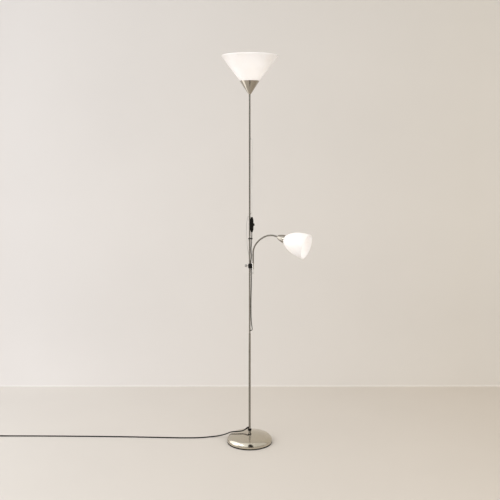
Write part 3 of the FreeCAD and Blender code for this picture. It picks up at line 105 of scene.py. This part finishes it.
tubeSetup = dict(stepsPerPoint=8, bevelSteps=6, order=3, segments=16, shortest=1e-6)


def nurbs(name, points, diameter=0):
    curve = bpy.data.curves.new(name, "CURVE")
    curve.dimensions = "3D"
    curve.resolution_u = tubeSetup["stepsPerPoint"]
    spline = curve.splines.new("NURBS")
    spline.points.add(len(points) - 1)
    for target, point in zip(spline.points, points):
        target.co = (*point, 1)
    spline.order_u = tubeSetup["order"]
    spline.use_endpoint_u = True
    if diameter:
        curve.bevel_depth = diameter / 2
        curve.bevel_resolution = tubeSetup["bevelSteps"]
        curve.use_fill_caps = True
    return addObject(name, curve)


def lineOf(points):
    guide = nurbs("guide", points)
    mesh = bpy.data.meshes.new_from_object(guide)
    line = [v.co.copy() for v in mesh.vertices]
    bpy.data.meshes.remove(mesh)
    bpy.data.objects.remove(guide)
    return line


def sayLength(label, line):
    print(label, round(sum((b - a).length for a, b in zip(line, line[1:])), 4))


def coilPoints():
    # winds inwards, climbs one layer half way, and winds out again over itself
    points = []
    total = mains["turns"]
    centre = Vector((mains["coilX"], mains["runY"] - mains["coilRadius"], 0))
    count = total * mains["perTurn"]
    swell = 1 / math.cos(math.pi / mains["perTurn"]) ** mains["swellPower"]
    for index in range(count + 1):
        turns = index / mains["perTurn"]
        radius = mains["coilRadius"] - mains["pitch"] * min(turns, total - turns)
        begun = turns - (total - mains["climbTurns"]) / 2
        climb = min(max(begun / mains["climbTurns"], 0), 1)
        height = mains["lifted"] + mains["pitch"] * (1 - math.cos(math.pi * climb)) / 2
        angle = math.pi / 2 + 2 * math.pi * turns
        if 0 < index < count:
            radius *= swell
        points.append(centre + Vector((radius * math.cos(angle), radius * math.sin(angle),
                                       height)))
    last = points[-1]
    for share in (0.5, 1):
        points.append(last - Vector((mains["leadOut"] * share, 0, 0)))
    return points


def ringFrames(line):
    # a side and an across vector at each point, turning as little as they can
    frames = []
    side = Vector((0, 0, 1))
    for index, point in enumerate(line):
        way = (line[min(index + 1, len(line) - 1)] - line[max(index - 1, 0)]).normalized()
        side = side - way * side.dot(way)
        if side.length < tubeSetup["shortest"]:
            side = way.orthogonal()
        side.normalize()
        frames.append((point, side.copy(), way.cross(side)))
    return frames


def tubeMesh(name, tubes, segments=tubeSetup["segments"]):
    # each tube is its line, its radius at a ring and an angle, and whether it has end caps
    verts, faces = [], []
    for line, radiusAt, capped in tubes:
        base = len(verts)
        for ring, (point, side, across) in enumerate(ringFrames(line)):
            for k in range(segments):
                angle = 2 * math.pi * k / segments
                radius = radiusAt(ring, angle)
                verts.append(point + (side * math.cos(angle) + across * math.sin(angle))
                             * radius)
        for ring in range(len(line) - 1):
            for k in range(segments):
                a = base + ring * segments + k
                b = base + ring * segments + (k + 1) % segments
                faces.append((a, b, b + segments, a + segments))
        if capped:
            faces.append(tuple(base + k for k in reversed(range(segments))))
            top = base + (len(line) - 1) * segments
            faces.append(tuple(top + k for k in range(segments)))
    mesh = bpy.data.meshes.new(name)
    mesh.from_pydata([tuple(v) for v in verts], [], faces)
    mesh.polygons.foreach_set("use_smooth", [len(p.vertices) == 4 for p in mesh.polygons])
    mesh.update()
    return addObject(name, mesh)


def standLead(name, points, diameter, *replaced):
    piece = nurbs(name, points, diameter / 1000)
    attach(piece, "stand")
    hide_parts(*replaced)
    return piece


def movingLead(name, path, diameter):
    # a mesh, because its two ends ride on bodies that move apart
    return tubeMesh(name, [(path, lambda ring, angle: diameter / 2000, True)])


mainsPoints = metres(mainsRoute + coilPoints())
mainsCord = standLead("mainsCordLine", mainsPoints, mains["diameter"], "mains_cord",
                      "mains_coil")
sayLength("mains", lineOf(mainsPoints))

supplyPoints = metres(supply["points"])
supplyLead = standLead("supplyLeadLine", supplyPoints, supply["diameter"], "supply_lead")
sayLength("supply", lineOf(supplyPoints))

uplighterPoints = metres(uplighter["points"])
uplighterLead = standLead("uplighterLeadLine", uplighterPoints, uplighter["diameter"],
                          "uplighter_lead")
sayLength("uplighter", lineOf(uplighterPoints))

readingPath = lineOf(metres(reading["points"]))
readingLead = movingLead("readingLeadLine", readingPath, reading["diameter"])
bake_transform(readingLead)
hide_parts("reading_lead")
sayLength("reading", readingPath)

armPath = lineOf(metres(arm["points"]))
armLead = movingLead("armLeadLine", armPath, arm["diameter"])
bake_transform(armLead)
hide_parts("arm_lead")
sayLength("arm", armPath)

print("cords laid")

# each piece of the neck is its length, the angle that it turns through, and its bend radius
neck = dict(
    armX=17.5, footZ=857, azimuth=-26, radius=3.75, wire=1.5, below=28, inside=1,
    pieces=[(46, 0, 0), (39.096, 32, 70), (69.115, 36, 110), (51.662, 37, 80), (11, 0, 0)],
    ribPitch=2.2, ribHeight=0.34, ribPower=1.6, ringsPerRib=6, ringGap=0.05,
    links=4, segments=32, wireSteps=24, shortest=1e-9,
    bodies=["clamp", "neck_lower", "neck_middle", "neck_upper", "reading_head"],
)
neckLength = sum(piece[0] for piece in neck["pieces"])
armTurn = Matrix.Rotation(math.radians(neck["azimuth"]), 3, "Z")


def neckAt(distance):
    # the place on the neck's middle line, so far from its foot
    point = Vector((neck["armX"], 0, neck["footZ"]))
    heading = 90.0
    if distance < 0:
        return armTurn @ (point + Vector((0, 0, distance)))
    for length, turn, radius in neck["pieces"]:
        step = min(distance, length)
        angle = math.radians(heading)
        if radius:
            centre = point + Vector((math.sin(angle), 0, -math.cos(angle))) * radius
            heading -= turn * step / length
            angle = math.radians(heading)
            point = centre + Vector((-math.sin(angle), 0, math.cos(angle))) * radius
        else:
            point = point + Vector((math.cos(angle), 0, math.sin(angle))) * step
        distance -= step
        if distance <= neck["shortest"]:
            break
    if distance > 0:
        angle = math.radians(heading)
        point = point + Vector((math.cos(angle), 0, math.sin(angle))) * distance
    return armTurn @ point


def neckLink(index):
    start = neckLength * index / neck["links"]
    end = neckLength * (index + 1) / neck["links"]
    step = neck["ribPitch"] / neck["ringsPerRib"]
    first = math.ceil(start / step)
    last = math.floor(end / step)
    marks = [start] + [k * step for k in range(first, last + 1)
                       if start + neck["ringGap"] < k * step < end - neck["ringGap"]] + [end]

    def ribbed(ring, angle):
        phase = 2 * math.pi * marks[ring] / neck["ribPitch"] - angle
        rise = abs(math.cos(phase / 2)) ** neck["ribPower"]
        return (neck["radius"] - neck["ribHeight"] * (1 - rise)) / 1000

    wireStart = start - (neck["below"] if index == 0 else 0)
    wireEnd = end + (neck["inside"] if index == neck["links"] - 1 else 0)
    wireSteps = neck["wireSteps"]
    wireMarks = [wireStart + (wireEnd - wireStart) * k / wireSteps
                 for k in range(wireSteps + 1)]
    link = tubeMesh("neckLink%d" % (index + 1), [
        ([neckAt(m) / 1000 for m in marks], ribbed, False),
        ([neckAt(m) / 1000 for m in wireMarks],
         lambda ring, angle: neck["wire"] / 1000, True),
    ], neck["segments"])
    tuple(neckAt(start) / 1000)
    tuple(neckAt(end) / 1000)
    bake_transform(link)
    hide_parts("gooseneck_%d" % (index + 1), "neck_wire_%d" % (index + 1))
    return link


neckLinks = [neckLink(index) for index in range(neck["links"])]
print("neck made")


def newGroup(name, inputs, outputs):
    group = bpy.data.node_groups.new(name, "ShaderNodeTree")
    for label, value in inputs:
        group.interface.new_socket(label, in_out="INPUT",
                                   socket_type="NodeSocketFloat").default_value = value
    for label in outputs:
        group.interface.new_socket(label, in_out="OUTPUT", socket_type="NodeSocketFloat")
    made = Shader(group)
    made.enter = made.add("NodeGroupInput")
    made.leave = made.add("NodeGroupOutput")
    return made


class Shader:
    def __init__(self, tree):
        self.tree = tree

    def add(self, kind, **values):
        node = self.tree.nodes.new(kind)
        for key, value in values.items():
            setattr(node, key, value)
        return node

    def put(self, node, **sockets):
        for key, value in sockets.items():
            node.inputs[key.replace("_", " ")].default_value = value
        return node

    def join(self, source, target):
        self.tree.links.new(source, target)

    def noise(self, vector, scale, detail=2.0, roughness=0.5):
        node = self.put(self.add("ShaderNodeTexNoise"), Scale=scale, Detail=detail,
                        Roughness=roughness)
        self.join(vector, node.inputs["Vector"])
        return node

    def spread(self, noise, toLow=0.0, toHigh=1.0):
        # the range that most of a noise lies in, stretched to the one that is asked for
        return self.ramp(noise.outputs["Fac"], 0.3, 0.7, toLow, toHigh)

    def ramp(self, source, low, high, toLow=0.0, toHigh=1.0, smooth=False):
        node = self.add("ShaderNodeMapRange", clamp=True)
        if smooth:
            node.interpolation_type = "SMOOTHSTEP"
        self.join(source, node.inputs["Value"])
        self.put(node, From_Min=low, From_Max=high, To_Min=toLow, To_Max=toHigh)
        return node.outputs["Result"]

    def math(self, operation, first, second=None):
        node = self.add("ShaderNodeMath", operation=operation)
        for index, value in enumerate((first, second)):
            if isinstance(value, (int, float)):
                node.inputs[index].default_value = value
            elif value is not None:
                self.join(value, node.inputs[index])
        return node.outputs[0]

    def mixColor(self, factor, first, second, blend="MIX"):
        node = self.add("ShaderNodeMix", data_type="RGBA", blend_type=blend)
        for index, value in ((0, factor), (6, first), (7, second)):
            if isinstance(value, (int, float)):
                node.inputs[index].default_value = value
            elif isinstance(value, tuple):
                node.inputs[index].default_value = (*value, 1)
            else:
                self.join(value, node.inputs[index])
        return node.outputs[2]

    def scaled(self, color, factor):
        node = self.add("ShaderNodeVectorMath", operation="SCALE")
        node.inputs[0].default_value = color
        self.join(factor, node.inputs["Scale"])
        return node.outputs[0]

    def split(self, vector):
        node = self.add("ShaderNodeSeparateXYZ")
        self.join(vector, node.inputs[0])
        return node.outputs

    def distanceTo(self, vector, point):
        node = self.add("ShaderNodeVectorMath", operation="DISTANCE")
        self.join(vector, node.inputs[0])
        node.inputs[1].default_value = point
        return node.outputs["Value"]


def tintGroup():  # slow colour drift and fine speckle, both about one
    g = newGroup("tintDrift", [("Slow", 6.0), ("Fine", 900.0), ("Amount", 0.1)],
                 ["Drift", "Speck"])
    coord = g.add("ShaderNodeTexCoord").outputs["Object"]
    for name, target, detail in (("Slow", "Drift", 3.0), ("Fine", "Speck", 1.0)):
        noise = g.noise(coord, 1.0, detail)
        g.join(g.enter.outputs[name], noise.inputs["Scale"])
        centred = g.math("SUBTRACT", noise.outputs["Fac"], 0.5)
        scaled = g.math("MULTIPLY", centred, g.enter.outputs["Amount"])
        g.join(g.math("ADD", scaled, 1.0), g.leave.inputs[target])
    return g.tree


def dustGroup():  # pale dust on faces that look up, broken by noise
    g = newGroup("dustFall", [("Amount", 0.3)], ["Mask"])
    coord = g.add("ShaderNodeTexCoord")
    upward = g.ramp(g.split(coord.outputs["Normal"])["Z"], 0.45, 1.0)
    coarse = g.noise(coord.outputs["Object"], 38.0, 5.0, 0.6)
    specks = g.noise(coord.outputs["Object"], 520.0, 2.0, 0.6)
    cloud = g.ramp(coarse.outputs["Fac"], 0.4, 0.75)
    dots = g.ramp(specks.outputs["Fac"], 0.6, 0.7)
    both = g.math("MAXIMUM", g.math("MULTIPLY", cloud, 0.4), dots)
    g.join(g.math("MULTIPLY", g.math("MULTIPLY", both, upward), g.enter.outputs["Amount"]),
           g.leave.inputs["Mask"])
    return g.tree


def wearGroup():  # rubbed edges, from the mesh's curvature broken by noise
    g = newGroup("edgeWear", [("Width", 0.04)], ["Mask"])
    coord = g.add("ShaderNodeTexCoord").outputs["Object"]
    noise = g.noise(coord, 260.0, 4.0, 0.65)
    edge = g.math("SUBTRACT", g.add("ShaderNodeNewGeometry").outputs["Pointiness"], 0.5)
    scaled = g.math("DIVIDE", edge, g.enter.outputs["Width"])
    g.join(g.math("MULTIPLY", g.ramp(scaled, 0.4, 1.4),
                  g.ramp(noise.outputs["Fac"], 0.42, 0.62)), g.leave.inputs["Mask"])
    return g.tree


def grainGroup():  # moulded or cast skin: fine grain on slow waves, as a height
    g = newGroup("skinGrain", [("Scale", 900.0), ("Wave", 40.0)], ["Height"])
    coord = g.add("ShaderNodeTexCoord").outputs["Object"]
    fine = g.noise(coord, 1.0, 2.0)
    wave = g.noise(coord, 1.0, 2.0)
    g.join(g.enter.outputs["Scale"], fine.inputs["Scale"])
    g.join(g.enter.outputs["Wave"], wave.inputs["Scale"])
    g.join(g.math("ADD", g.math("MULTIPLY", fine.outputs["Fac"], 0.4),
                  wave.outputs["Fac"]), g.leave.inputs["Height"])
    return g.tree


groups = dict(tint=tintGroup(), dust=dustGroup(), wear=wearGroup(), grain=grainGroup())


def useGroup(shader, name, **values):
    return shader.put(shader.add("ShaderNodeGroup", node_tree=groups[name]), **values)


def newMaterial(name):
    material = bpy.data.materials.new(name)
    material.use_nodes = True
    shader = Shader(material.node_tree)
    shader.skin = material.node_tree.nodes["Principled BSDF"]
    shader.out = material.node_tree.nodes["Material Output"]
    return material, shader


def bumped(shader, height, strength, distance):
    bump = shader.put(shader.add("ShaderNodeBump"), Strength=strength, Distance=distance)
    shader.join(height, bump.inputs["Height"])
    shader.join(bump.outputs["Normal"], shader.skin.inputs["Normal"])


dustColors = dict(onPlastic=(0.52, 0.49, 0.44), onMetal=(0.5, 0.47, 0.42))


def moulded(name, color, roughness, drift=0.1, slow=8.0, grain=900.0, wave=40.0, bump=0.08,
            depth=0.0002, dust=0.1, specular=0.5, wear=None):
    # plastic, rubber and cast skins
    material, sh = newMaterial(name)
    tint = useGroup(sh, "tint", Slow=slow, Fine=1200.0, Amount=drift)
    body = sh.scaled(color, sh.math("MULTIPLY", tint.outputs["Drift"],
                                    tint.outputs["Speck"]))
    if wear:
        body = sh.mixColor(useGroup(sh, "wear", Width=0.08).outputs["Mask"], body, wear)
    dusty = useGroup(sh, "dust", Amount=dust).outputs["Mask"]
    sh.join(sh.mixColor(dusty, body, dustColors["onPlastic"]), sh.skin.inputs["Base Color"])
    rough = sh.ramp(tint.outputs["Drift"], 1 - drift / 2, 1 + drift / 2, roughness - 0.05,
                    roughness + 0.05)
    sh.join(sh.math("ADD", rough, sh.math("MULTIPLY", dusty, 0.4)),
            sh.skin.inputs["Roughness"])
    sh.put(sh.skin, Specular_IOR_Level=specular)
    bumped(sh, useGroup(sh, "grain", Scale=grain, Wave=wave).outputs["Height"], bump, depth)
    return material


def satinMetal(name, color, roughness, lines=(30, 30, 1400), lineBump=0.04, dust=0.0,
               spread=0.03):
    # turned or drawn metal: fine brush lines, faint stains and rubbed edges
    material, sh = newMaterial(name)
    coord = sh.add("ShaderNodeTexCoord").outputs["Object"]
    mapping = sh.put(sh.add("ShaderNodeMapping"), Scale=lines)
    sh.join(coord, mapping.inputs["Vector"])
    brush = sh.noise(mapping.outputs["Vector"], 1.0, 3.0, 0.6)
    tint = useGroup(sh, "tint", Slow=9.0, Fine=240.0, Amount=0.04)
    tone = sh.math("MULTIPLY", sh.spread(brush, 0.97, 1.03), tint.outputs["Drift"])
    worn = sh.mixColor(useGroup(sh, "wear", Width=0.06).outputs["Mask"],
                       sh.scaled(color, tone), tuple(min(c * 1.25, 1) for c in color))
    dusty = useGroup(sh, "dust", Amount=dust).outputs["Mask"]
    sh.join(sh.mixColor(dusty, worn, dustColors["onMetal"]), sh.skin.inputs["Base Color"])
    sh.join(sh.math("SUBTRACT", 1.0, dusty), sh.skin.inputs["Metallic"])
    rough = sh.math("ADD", sh.spread(brush, roughness - spread, roughness + spread),
                    sh.ramp(tint.outputs["Speck"], 0.99, 1.01, -0.01, 0.015))
    sh.join(sh.math("ADD", rough, sh.math("MULTIPLY", dusty, 0.5)),
            sh.skin.inputs["Roughness"])
    bumped(sh, brush.outputs["Fac"], lineBump, 0.00005)
    return material


# lampshade plastic colours, and the colours of the painted glow that the shade itself emits, near
# the bulb and far from it
shadeGlow = dict(color=(0.93, 0.918, 0.915), edge=(0.9, 0.875, 0.855), through=0.35,
                 glow=(1.0, 0.99, 0.99), farGlow=(0.3, 0.29, 0.275))


def shadePlastic(name, glowPlace, near, far, strength):
    # thin milky plastic; its emission is a painted glow, brighter near the bulb behind it
    material, sh = newMaterial(name)
    coord = sh.add("ShaderNodeTexCoord").outputs["Object"]
    cloud = sh.noise(coord, 22.0, 3.0)
    fine = sh.noise(coord, 700.0, 2.0)
    body = sh.mixColor(sh.spread(cloud), shadeGlow["color"], shadeGlow["edge"])
    sh.join(body, sh.skin.inputs["Base Color"])
    sh.join(sh.spread(fine, 0.26, 0.36), sh.skin.inputs["Roughness"])
    # painted glow: the shade's emission fades with distance from the bulb
    paintedGlowMask = sh.ramp(sh.distanceTo(coord, glowPlace), near, far, 1.0, 0.0, True)
    sh.join(sh.mixColor(paintedGlowMask, shadeGlow["farGlow"], shadeGlow["glow"]),
            sh.skin.inputs["Emission Color"])
    sh.put(sh.skin, Emission_Strength=strength)
    bumped(sh, useGroup(sh, "grain", Scale=300.0, Wave=25.0).outputs["Height"], 0.05, 0.0003)
    through = sh.add("ShaderNodeBsdfTranslucent")
    sh.join(body, through.inputs["Color"])
    mix = sh.put(sh.add("ShaderNodeMixShader"), Fac=shadeGlow["through"])
    sh.join(sh.skin.outputs[0], mix.inputs[1])
    sh.join(through.outputs[0], mix.inputs[2])
    sh.join(mix.outputs[0], sh.out.inputs["Surface"])
    return material


bulbLook = dict(glass=(0.93, 0.91, 0.87), clear=(0.97, 0.95, 0.92),
                warm=(1.0, 0.97, 0.93), bright=(1.0, 0.985, 0.96))


def bulbGlass(name, strength):
    # a lit opal bulb, slightly cloudy
    material, sh = newMaterial(name)
    coord = sh.add("ShaderNodeTexCoord").outputs["Object"]
    cloud = sh.noise(coord, 60.0, 2.0)
    mask = sh.spread(cloud)
    sh.join(sh.mixColor(mask, bulbLook["glass"], bulbLook["clear"]),
            sh.skin.inputs["Base Color"])
    sh.join(sh.spread(cloud, 0.18, 0.28), sh.skin.inputs["Roughness"])
    sh.join(sh.mixColor(mask, bulbLook["warm"], bulbLook["bright"]),
            sh.skin.inputs["Emission Color"])
    sh.put(sh.skin, Emission_Strength=strength)
    return material


# the neck's rib colour, a painted-shade colour for its grooves, and a stain colour
neckLook = dict(grooveShade=(0.045, 0.041, 0.035), rib=(0.22, 0.205, 0.18),
                stain=(0.18, 0.168, 0.15))


def ribbedNeck():
    # wound metal, with painted shade in its grooves
    material, sh = newMaterial("ribbedNeck")
    coord = sh.add("ShaderNodeTexCoord").outputs["Object"]
    noise = sh.noise(coord, 700.0, 3.0, 0.6)
    # painted shade: darker where the mesh curves inwards, in the grooves
    grooveShade = sh.ramp(sh.add("ShaderNodeNewGeometry").outputs["Pointiness"], 0.44, 0.52)
    body = sh.mixColor(grooveShade, neckLook["grooveShade"], neckLook["rib"])
    body = sh.mixColor(sh.ramp(noise.outputs["Fac"], 0.45, 0.7, 0.0, 0.2), body,
                       neckLook["stain"])
    sh.join(body, sh.skin.inputs["Base Color"])
    sh.put(sh.skin, Metallic=1.0)
    sh.join(sh.spread(noise, 0.18, 0.32), sh.skin.inputs["Roughness"])
    bumped(sh, noise.outputs["Fac"], 0.05, 0.0001)
    return material


glowPlaces = dict(uplighter=(-0.015, -0.04, 1.755), reading=(0.1908, -0.0931, 0.9651))
# one satin nickel in four brightnesses: the darker cup, sleeve and tube copies are painted shade,
# standing in for the darker reflections these parts show
nickel = dict(base=(0.56, 0.52, 0.435), cup=(0.41, 0.378, 0.325), sleeve=(0.34, 0.315, 0.275),
              tube=(0.25, 0.235, 0.21))
materials = dict(
    nickelBase=satinMetal("nickelBase", nickel["base"], 0.14, (60, 60, 700), dust=0.05),
    nickelTube=satinMetal("nickelTube", nickel["tube"], 0.2, (900, 900, 14)),
    nickelCup=satinMetal("nickelCup", nickel["cup"], 0.1, (120, 120, 1400)),
    nickelSleeve=satinMetal("nickelSleeve", nickel["sleeve"], 0.12, (700, 700, 700)),
    castIron=moulded("castIron", (0.035, 0.034, 0.033), 0.62, drift=0.25, slow=20.0,
                     grain=420.0, wave=90.0, bump=0.6, depth=0.0008),
    zinc=satinMetal("zincPlate", (0.62, 0.62, 0.6), 0.3, (90, 90, 90), 0.1),
    padRubber=moulded("padRubber", (0.012, 0.012, 0.012), 0.85, drift=0.3, grain=1500.0,
                      bump=0.5, depth=0.0004, specular=0.1, dust=0.02),
    blackPlastic=moulded("blackPlastic", (0.004, 0.0034, 0.003), 0.5, drift=0.15,
                         grain=1600.0, wave=200.0, bump=0.15, specular=0.07, dust=0.01,
                         wear=(0.016, 0.014, 0.012)),
    greyPlastic=moulded("greyPlastic", (0.36, 0.35, 0.33), 0.4, drift=0.12, grain=1500.0,
                        wave=160.0, bump=0.2, wear=(0.42, 0.4, 0.38)),
    ferrule=satinMetal("ferruleMetal", (0.78, 0.77, 0.74), 0.2, (60, 60, 900)),
    brass=satinMetal("brassPins", (0.78, 0.58, 0.26), 0.24, (900, 60, 60)),
    uplighterShade=shadePlastic("uplighterShade", glowPlaces["uplighter"], 0.06, 0.12, 0.25),
    readingShade=shadePlastic("readingShade", glowPlaces["reading"], 0.05, 0.12, 0.16),
    holder=moulded("holderPlastic", (0.8, 0.78, 0.74), 0.4, drift=0.05, grain=1200.0,
                   wave=80.0, bump=0.1, dust=0.15),
    uplighterBulb=bulbGlass("uplighterBulbGlass", 1.0),
    readingBulb=bulbGlass("readingBulbGlass", 1.9),
    bulbCap=satinMetal("bulbCapMetal", (0.7, 0.68, 0.62), 0.3, (60, 60, 700), 0.3),
    blackCord=moulded("blackCord", (0.005, 0.0044, 0.004), 0.48, drift=0.2, slow=30.0,
                      grain=1300.0, wave=60.0, bump=0.16, depth=0.0003, specular=0.12,
                      dust=0.02),
    paleCord=moulded("paleCord", (0.6, 0.585, 0.56), 0.4, drift=0.1, slow=30.0,
                     grain=1300.0, wave=60.0, bump=0.14, depth=0.0003),
    neck=ribbedNeck(),
)

dressed = dict(
    nickelBase=["base_cover"],
    nickelTube=["foot_collar", "pole_lower", "pole_middle", "pole_upper", "pole_top",
                "pole_reducer"],
    nickelCup=["uplighter_cup"],
    nickelSleeve=["reading_cup"],
    castIron=["base_weight"],
    zinc=["base_nut", "base_washer", "pole_studs", "switch_screws"],
    padRubber=["base_pad"],
    blackPlastic=["strain_relief", "collar_ring", "lower_grommet", "cable_clip",
                  "switch_back", "switch_front", "switch_rocker", "clamp_liner",
                  "arm_clamp", "lead_sleeve", "plug_body", "coil_tie"],
    greyPlastic=["clamp_screw", "upper_grommet"],
    ferrule=["arm_ferrule"],
    brass=["switch_contacts", "plug_pins"],
    uplighterShade=["uplighter_bowl"],
    readingShade=["reading_shade"],
    holder=["uplighter_ring", "uplighter_socket", "reading_ring", "reading_socket",
            "socket_bush"],
    uplighterBulb=["uplighter_bulb"],
    readingBulb=["reading_bulb"],
    bulbCap=["uplighter_bulb_cap", "reading_bulb_cap"],
    blackCord=["inner_lead_lower"],
    paleCord=["inner_lead_top"],
)


def dress(obj, material):
    obj.data.materials.clear()
    obj.data.materials.append(material)


for key, names in dressed.items():
    for name in names:
        dress(nodes[name], materials[key])
for piece, key, slot in ((mainsCord, "blackCord", "black_lead"),
                         (supplyLead, "blackCord", "black_lead"),
                         (uplighterLead, "paleCord", "pale_lead"),
                         (readingLead, "paleCord", "pale_lead"),
                         (armLead, "paleCord", "pale_lead")):
    dress(piece, materials[key])
for link in neckLinks:
    dress(link, materials["neck"])
print("materials set")

# the left and right colours and the foot and top factors are painted light, falling off to the
# right and towards the top
roomSetup = dict(
    wallY=0.83, cove=0.008, coveSteps=8, width=9.0, front=-9.0, top=5.0,
    leftX=-1.25, rightX=1.25, joint=(0.001, 0.004), footHeight=0.5, head=(1.0, 2.4),
    wallLeft=(0.78, 0.758, 0.752), wallRight=(0.645, 0.607, 0.555),
    floorLeft=(0.67, 0.64, 0.607), floorRight=(0.548, 0.497, 0.435),
    wallFoot=1.04, wallTop=0.925,
)


def roomMesh():
    # floor and wall in one sheet, with a small cove where they meet
    points = [(roomSetup["front"], 0.0)]
    steps = roomSetup["coveSteps"]
    for k in range(steps + 1):
        angle = math.pi / 2 * k / steps
        points.append((roomSetup["wallY"] - roomSetup["cove"] * (1 - math.sin(angle)),
                       roomSetup["cove"] * (1 - math.cos(angle))))
    points.append((roomSetup["wallY"], roomSetup["top"]))
    width = roomSetup["width"]
    verts = [(x, y, z) for y, z in points for x in (-width, width)]
    faces = [(2 * k, 2 * k + 1, 2 * k + 3, 2 * k + 2) for k in range(len(points) - 1)]
    mesh = bpy.data.meshes.new("room")
    mesh.from_pydata(verts, [], faces)
    return addObject("room", mesh)


def roomMaterial():
    # wall and floor with painted light: paler on the left and darker to the right, a little
    # brighter near the floor and darker towards the wall's top; clear when seen from behind
    material, sh = newMaterial("roomPaintedLight")
    geometry = sh.add("ShaderNodeNewGeometry")
    place = sh.split(geometry.outputs["Position"])
    # painted light across the room: paler on the left, darker to the right
    across = sh.ramp(place["X"], roomSetup["leftX"], roomSetup["rightX"])
    wall = sh.mixColor(across, roomSetup["wallLeft"], roomSetup["wallRight"])
    floor = sh.mixColor(across, roomSetup["floorLeft"], roomSetup["floorRight"])
    # painted light by height: a little brighter low down, darker high on the wall
    foot = sh.ramp(place["Z"], 0.0, roomSetup["footHeight"], roomSetup["wallFoot"], 1.0, True)
    head = sh.ramp(place["Z"], *roomSetup["head"], 1.0, roomSetup["wallTop"])
    onWall = sh.ramp(place["Z"], *roomSetup["joint"])
    tone = sh.math("MULTIPLY", foot, head)
    base = sh.mixColor(onWall, floor, wall)
    noise = sh.noise(geometry.outputs["Position"], 2.0, 3.0)
    drift = sh.spread(noise, 0.99, 1.01)
    scale = sh.add("ShaderNodeVectorMath", operation="SCALE")
    sh.join(base, scale.inputs[0])
    sh.join(sh.math("MULTIPLY", tone, drift), scale.inputs["Scale"])
    sh.join(scale.outputs[0], sh.skin.inputs["Base Color"])
    sh.put(sh.skin, Roughness=0.75, Specular_IOR_Level=0.2)
    clear = sh.add("ShaderNodeBsdfTransparent")
    mix = sh.add("ShaderNodeMixShader")
    sh.join(geometry.outputs["Backfacing"], mix.inputs[0])
    sh.join(sh.skin.outputs[0], mix.inputs[1])
    sh.join(clear.outputs[0], mix.inputs[2])
    sh.join(mix.outputs[0], sh.out.inputs["Surface"])
    return material


room = roomMesh()
dress(room, roomMaterial())

studioLights = dict(
    key=dict(place=(-2.8, -2.4, 2.7), aim=(0, 0, 0.8), size=(1.6, 1.6), power=28),
    fill=dict(place=(2.9, -2.3, 2.4), aim=(0.5, 0.2, 1.0), size=(1.8, 1.8), power=39),
    window=dict(place=(-1.6, -0.02, 1.12), aim=(0, -0.02, 1.12), size=(1.65, 2.2), power=15),
)
# the kinds of ray that don't see each lamp, or the screen
unseen = dict(key=["camera"], fill=["camera", "glossy"], window=["camera", "diffuse"],
              screen=["camera", "diffuse", "transmission", "shadow"])


def hideFrom(obj, rays):
    for ray in rays:
        setattr(obj, "visible_" + ray, False)


for name, light in studioLights.items():
    data = bpy.data.lights.new(name, "AREA")
    data.shape = "RECTANGLE"
    data.size, data.size_y = light["size"]
    data.energy = light["power"]
    lamp = addObject(name, data)
    lamp.location = light["place"]
    way = Vector(light["aim"]) - Vector(light["place"])
    lamp.rotation_euler = way.to_track_quat("-Z", "Y").to_euler()
    hideFrom(lamp, unseen[name])

darkScreen = dict(left=-0.127, right=0.29, away=-0.9, height=3.0, color=(0.02, 0.018, 0.015))


def screenMesh():
    # a dark upright screen that only glossy rays see: it paints a dark reflection into the metal
    low, high = darkScreen["left"], darkScreen["right"]
    verts = [(x, darkScreen["away"], z) for x, z in (
        (low, 0), (high, 0), (high, darkScreen["height"]), (low, darkScreen["height"]))]
    mesh = bpy.data.meshes.new("darkScreen")
    mesh.from_pydata(verts, [], [(0, 1, 2, 3)])
    obj = addObject("darkScreen", mesh)
    material, sh = newMaterial("darkReflectionScreen")
    sh.put(sh.skin, Base_Color=(*darkScreen["color"], 1), Roughness=0.9)
    dress(obj, material)
    hideFrom(obj, unseen["screen"])
    return obj


screen = screenMesh()

studioWorld = dict(strength=1.35, seen=(0.53, 0.51, 0.475), left=(1.0, 0.993, 0.983),
                   right=(0.62, 0.603, 0.572), low=(0.262, 0.255, 0.241),
                   sideways=(-0.5, 0.6), ahead=(-0.35, -0.1), upward=(0.1, 0.22))


def lightWorld():
    # bright to the left, dimmer and warmer to the right and low down in front
    world = bpy.data.worlds.new("softRoom")
    bpy.context.scene.world = world
    world.use_nodes = True
    sh = Shader(world.node_tree)
    way = sh.split(sh.add("ShaderNodeTexCoord").outputs["Generated"])
    side = sh.ramp(way["X"], *studioWorld["sideways"], 0.0, 1.0, True)
    body = sh.mixColor(side, studioWorld["left"], studioWorld["right"])
    front = sh.ramp(way["Y"], *studioWorld["ahead"], 1.0, 0.0, True)
    low = sh.ramp(way["Z"], *studioWorld["upward"], 1.0, 0.0, True)
    body = sh.mixColor(sh.math("MULTIPLY", front, low), body, studioWorld["low"])
    seen = sh.add("ShaderNodeLightPath").outputs["Is Camera Ray"]
    background = world.node_tree.nodes["Background"]
    sh.join(sh.mixColor(seen, body, studioWorld["seen"]), background.inputs["Color"])
    sh.put(background, Strength=studioWorld["strength"])


lightWorld()
bpy.context.scene.view_settings.view_transform = "Standard"
print("room lit")
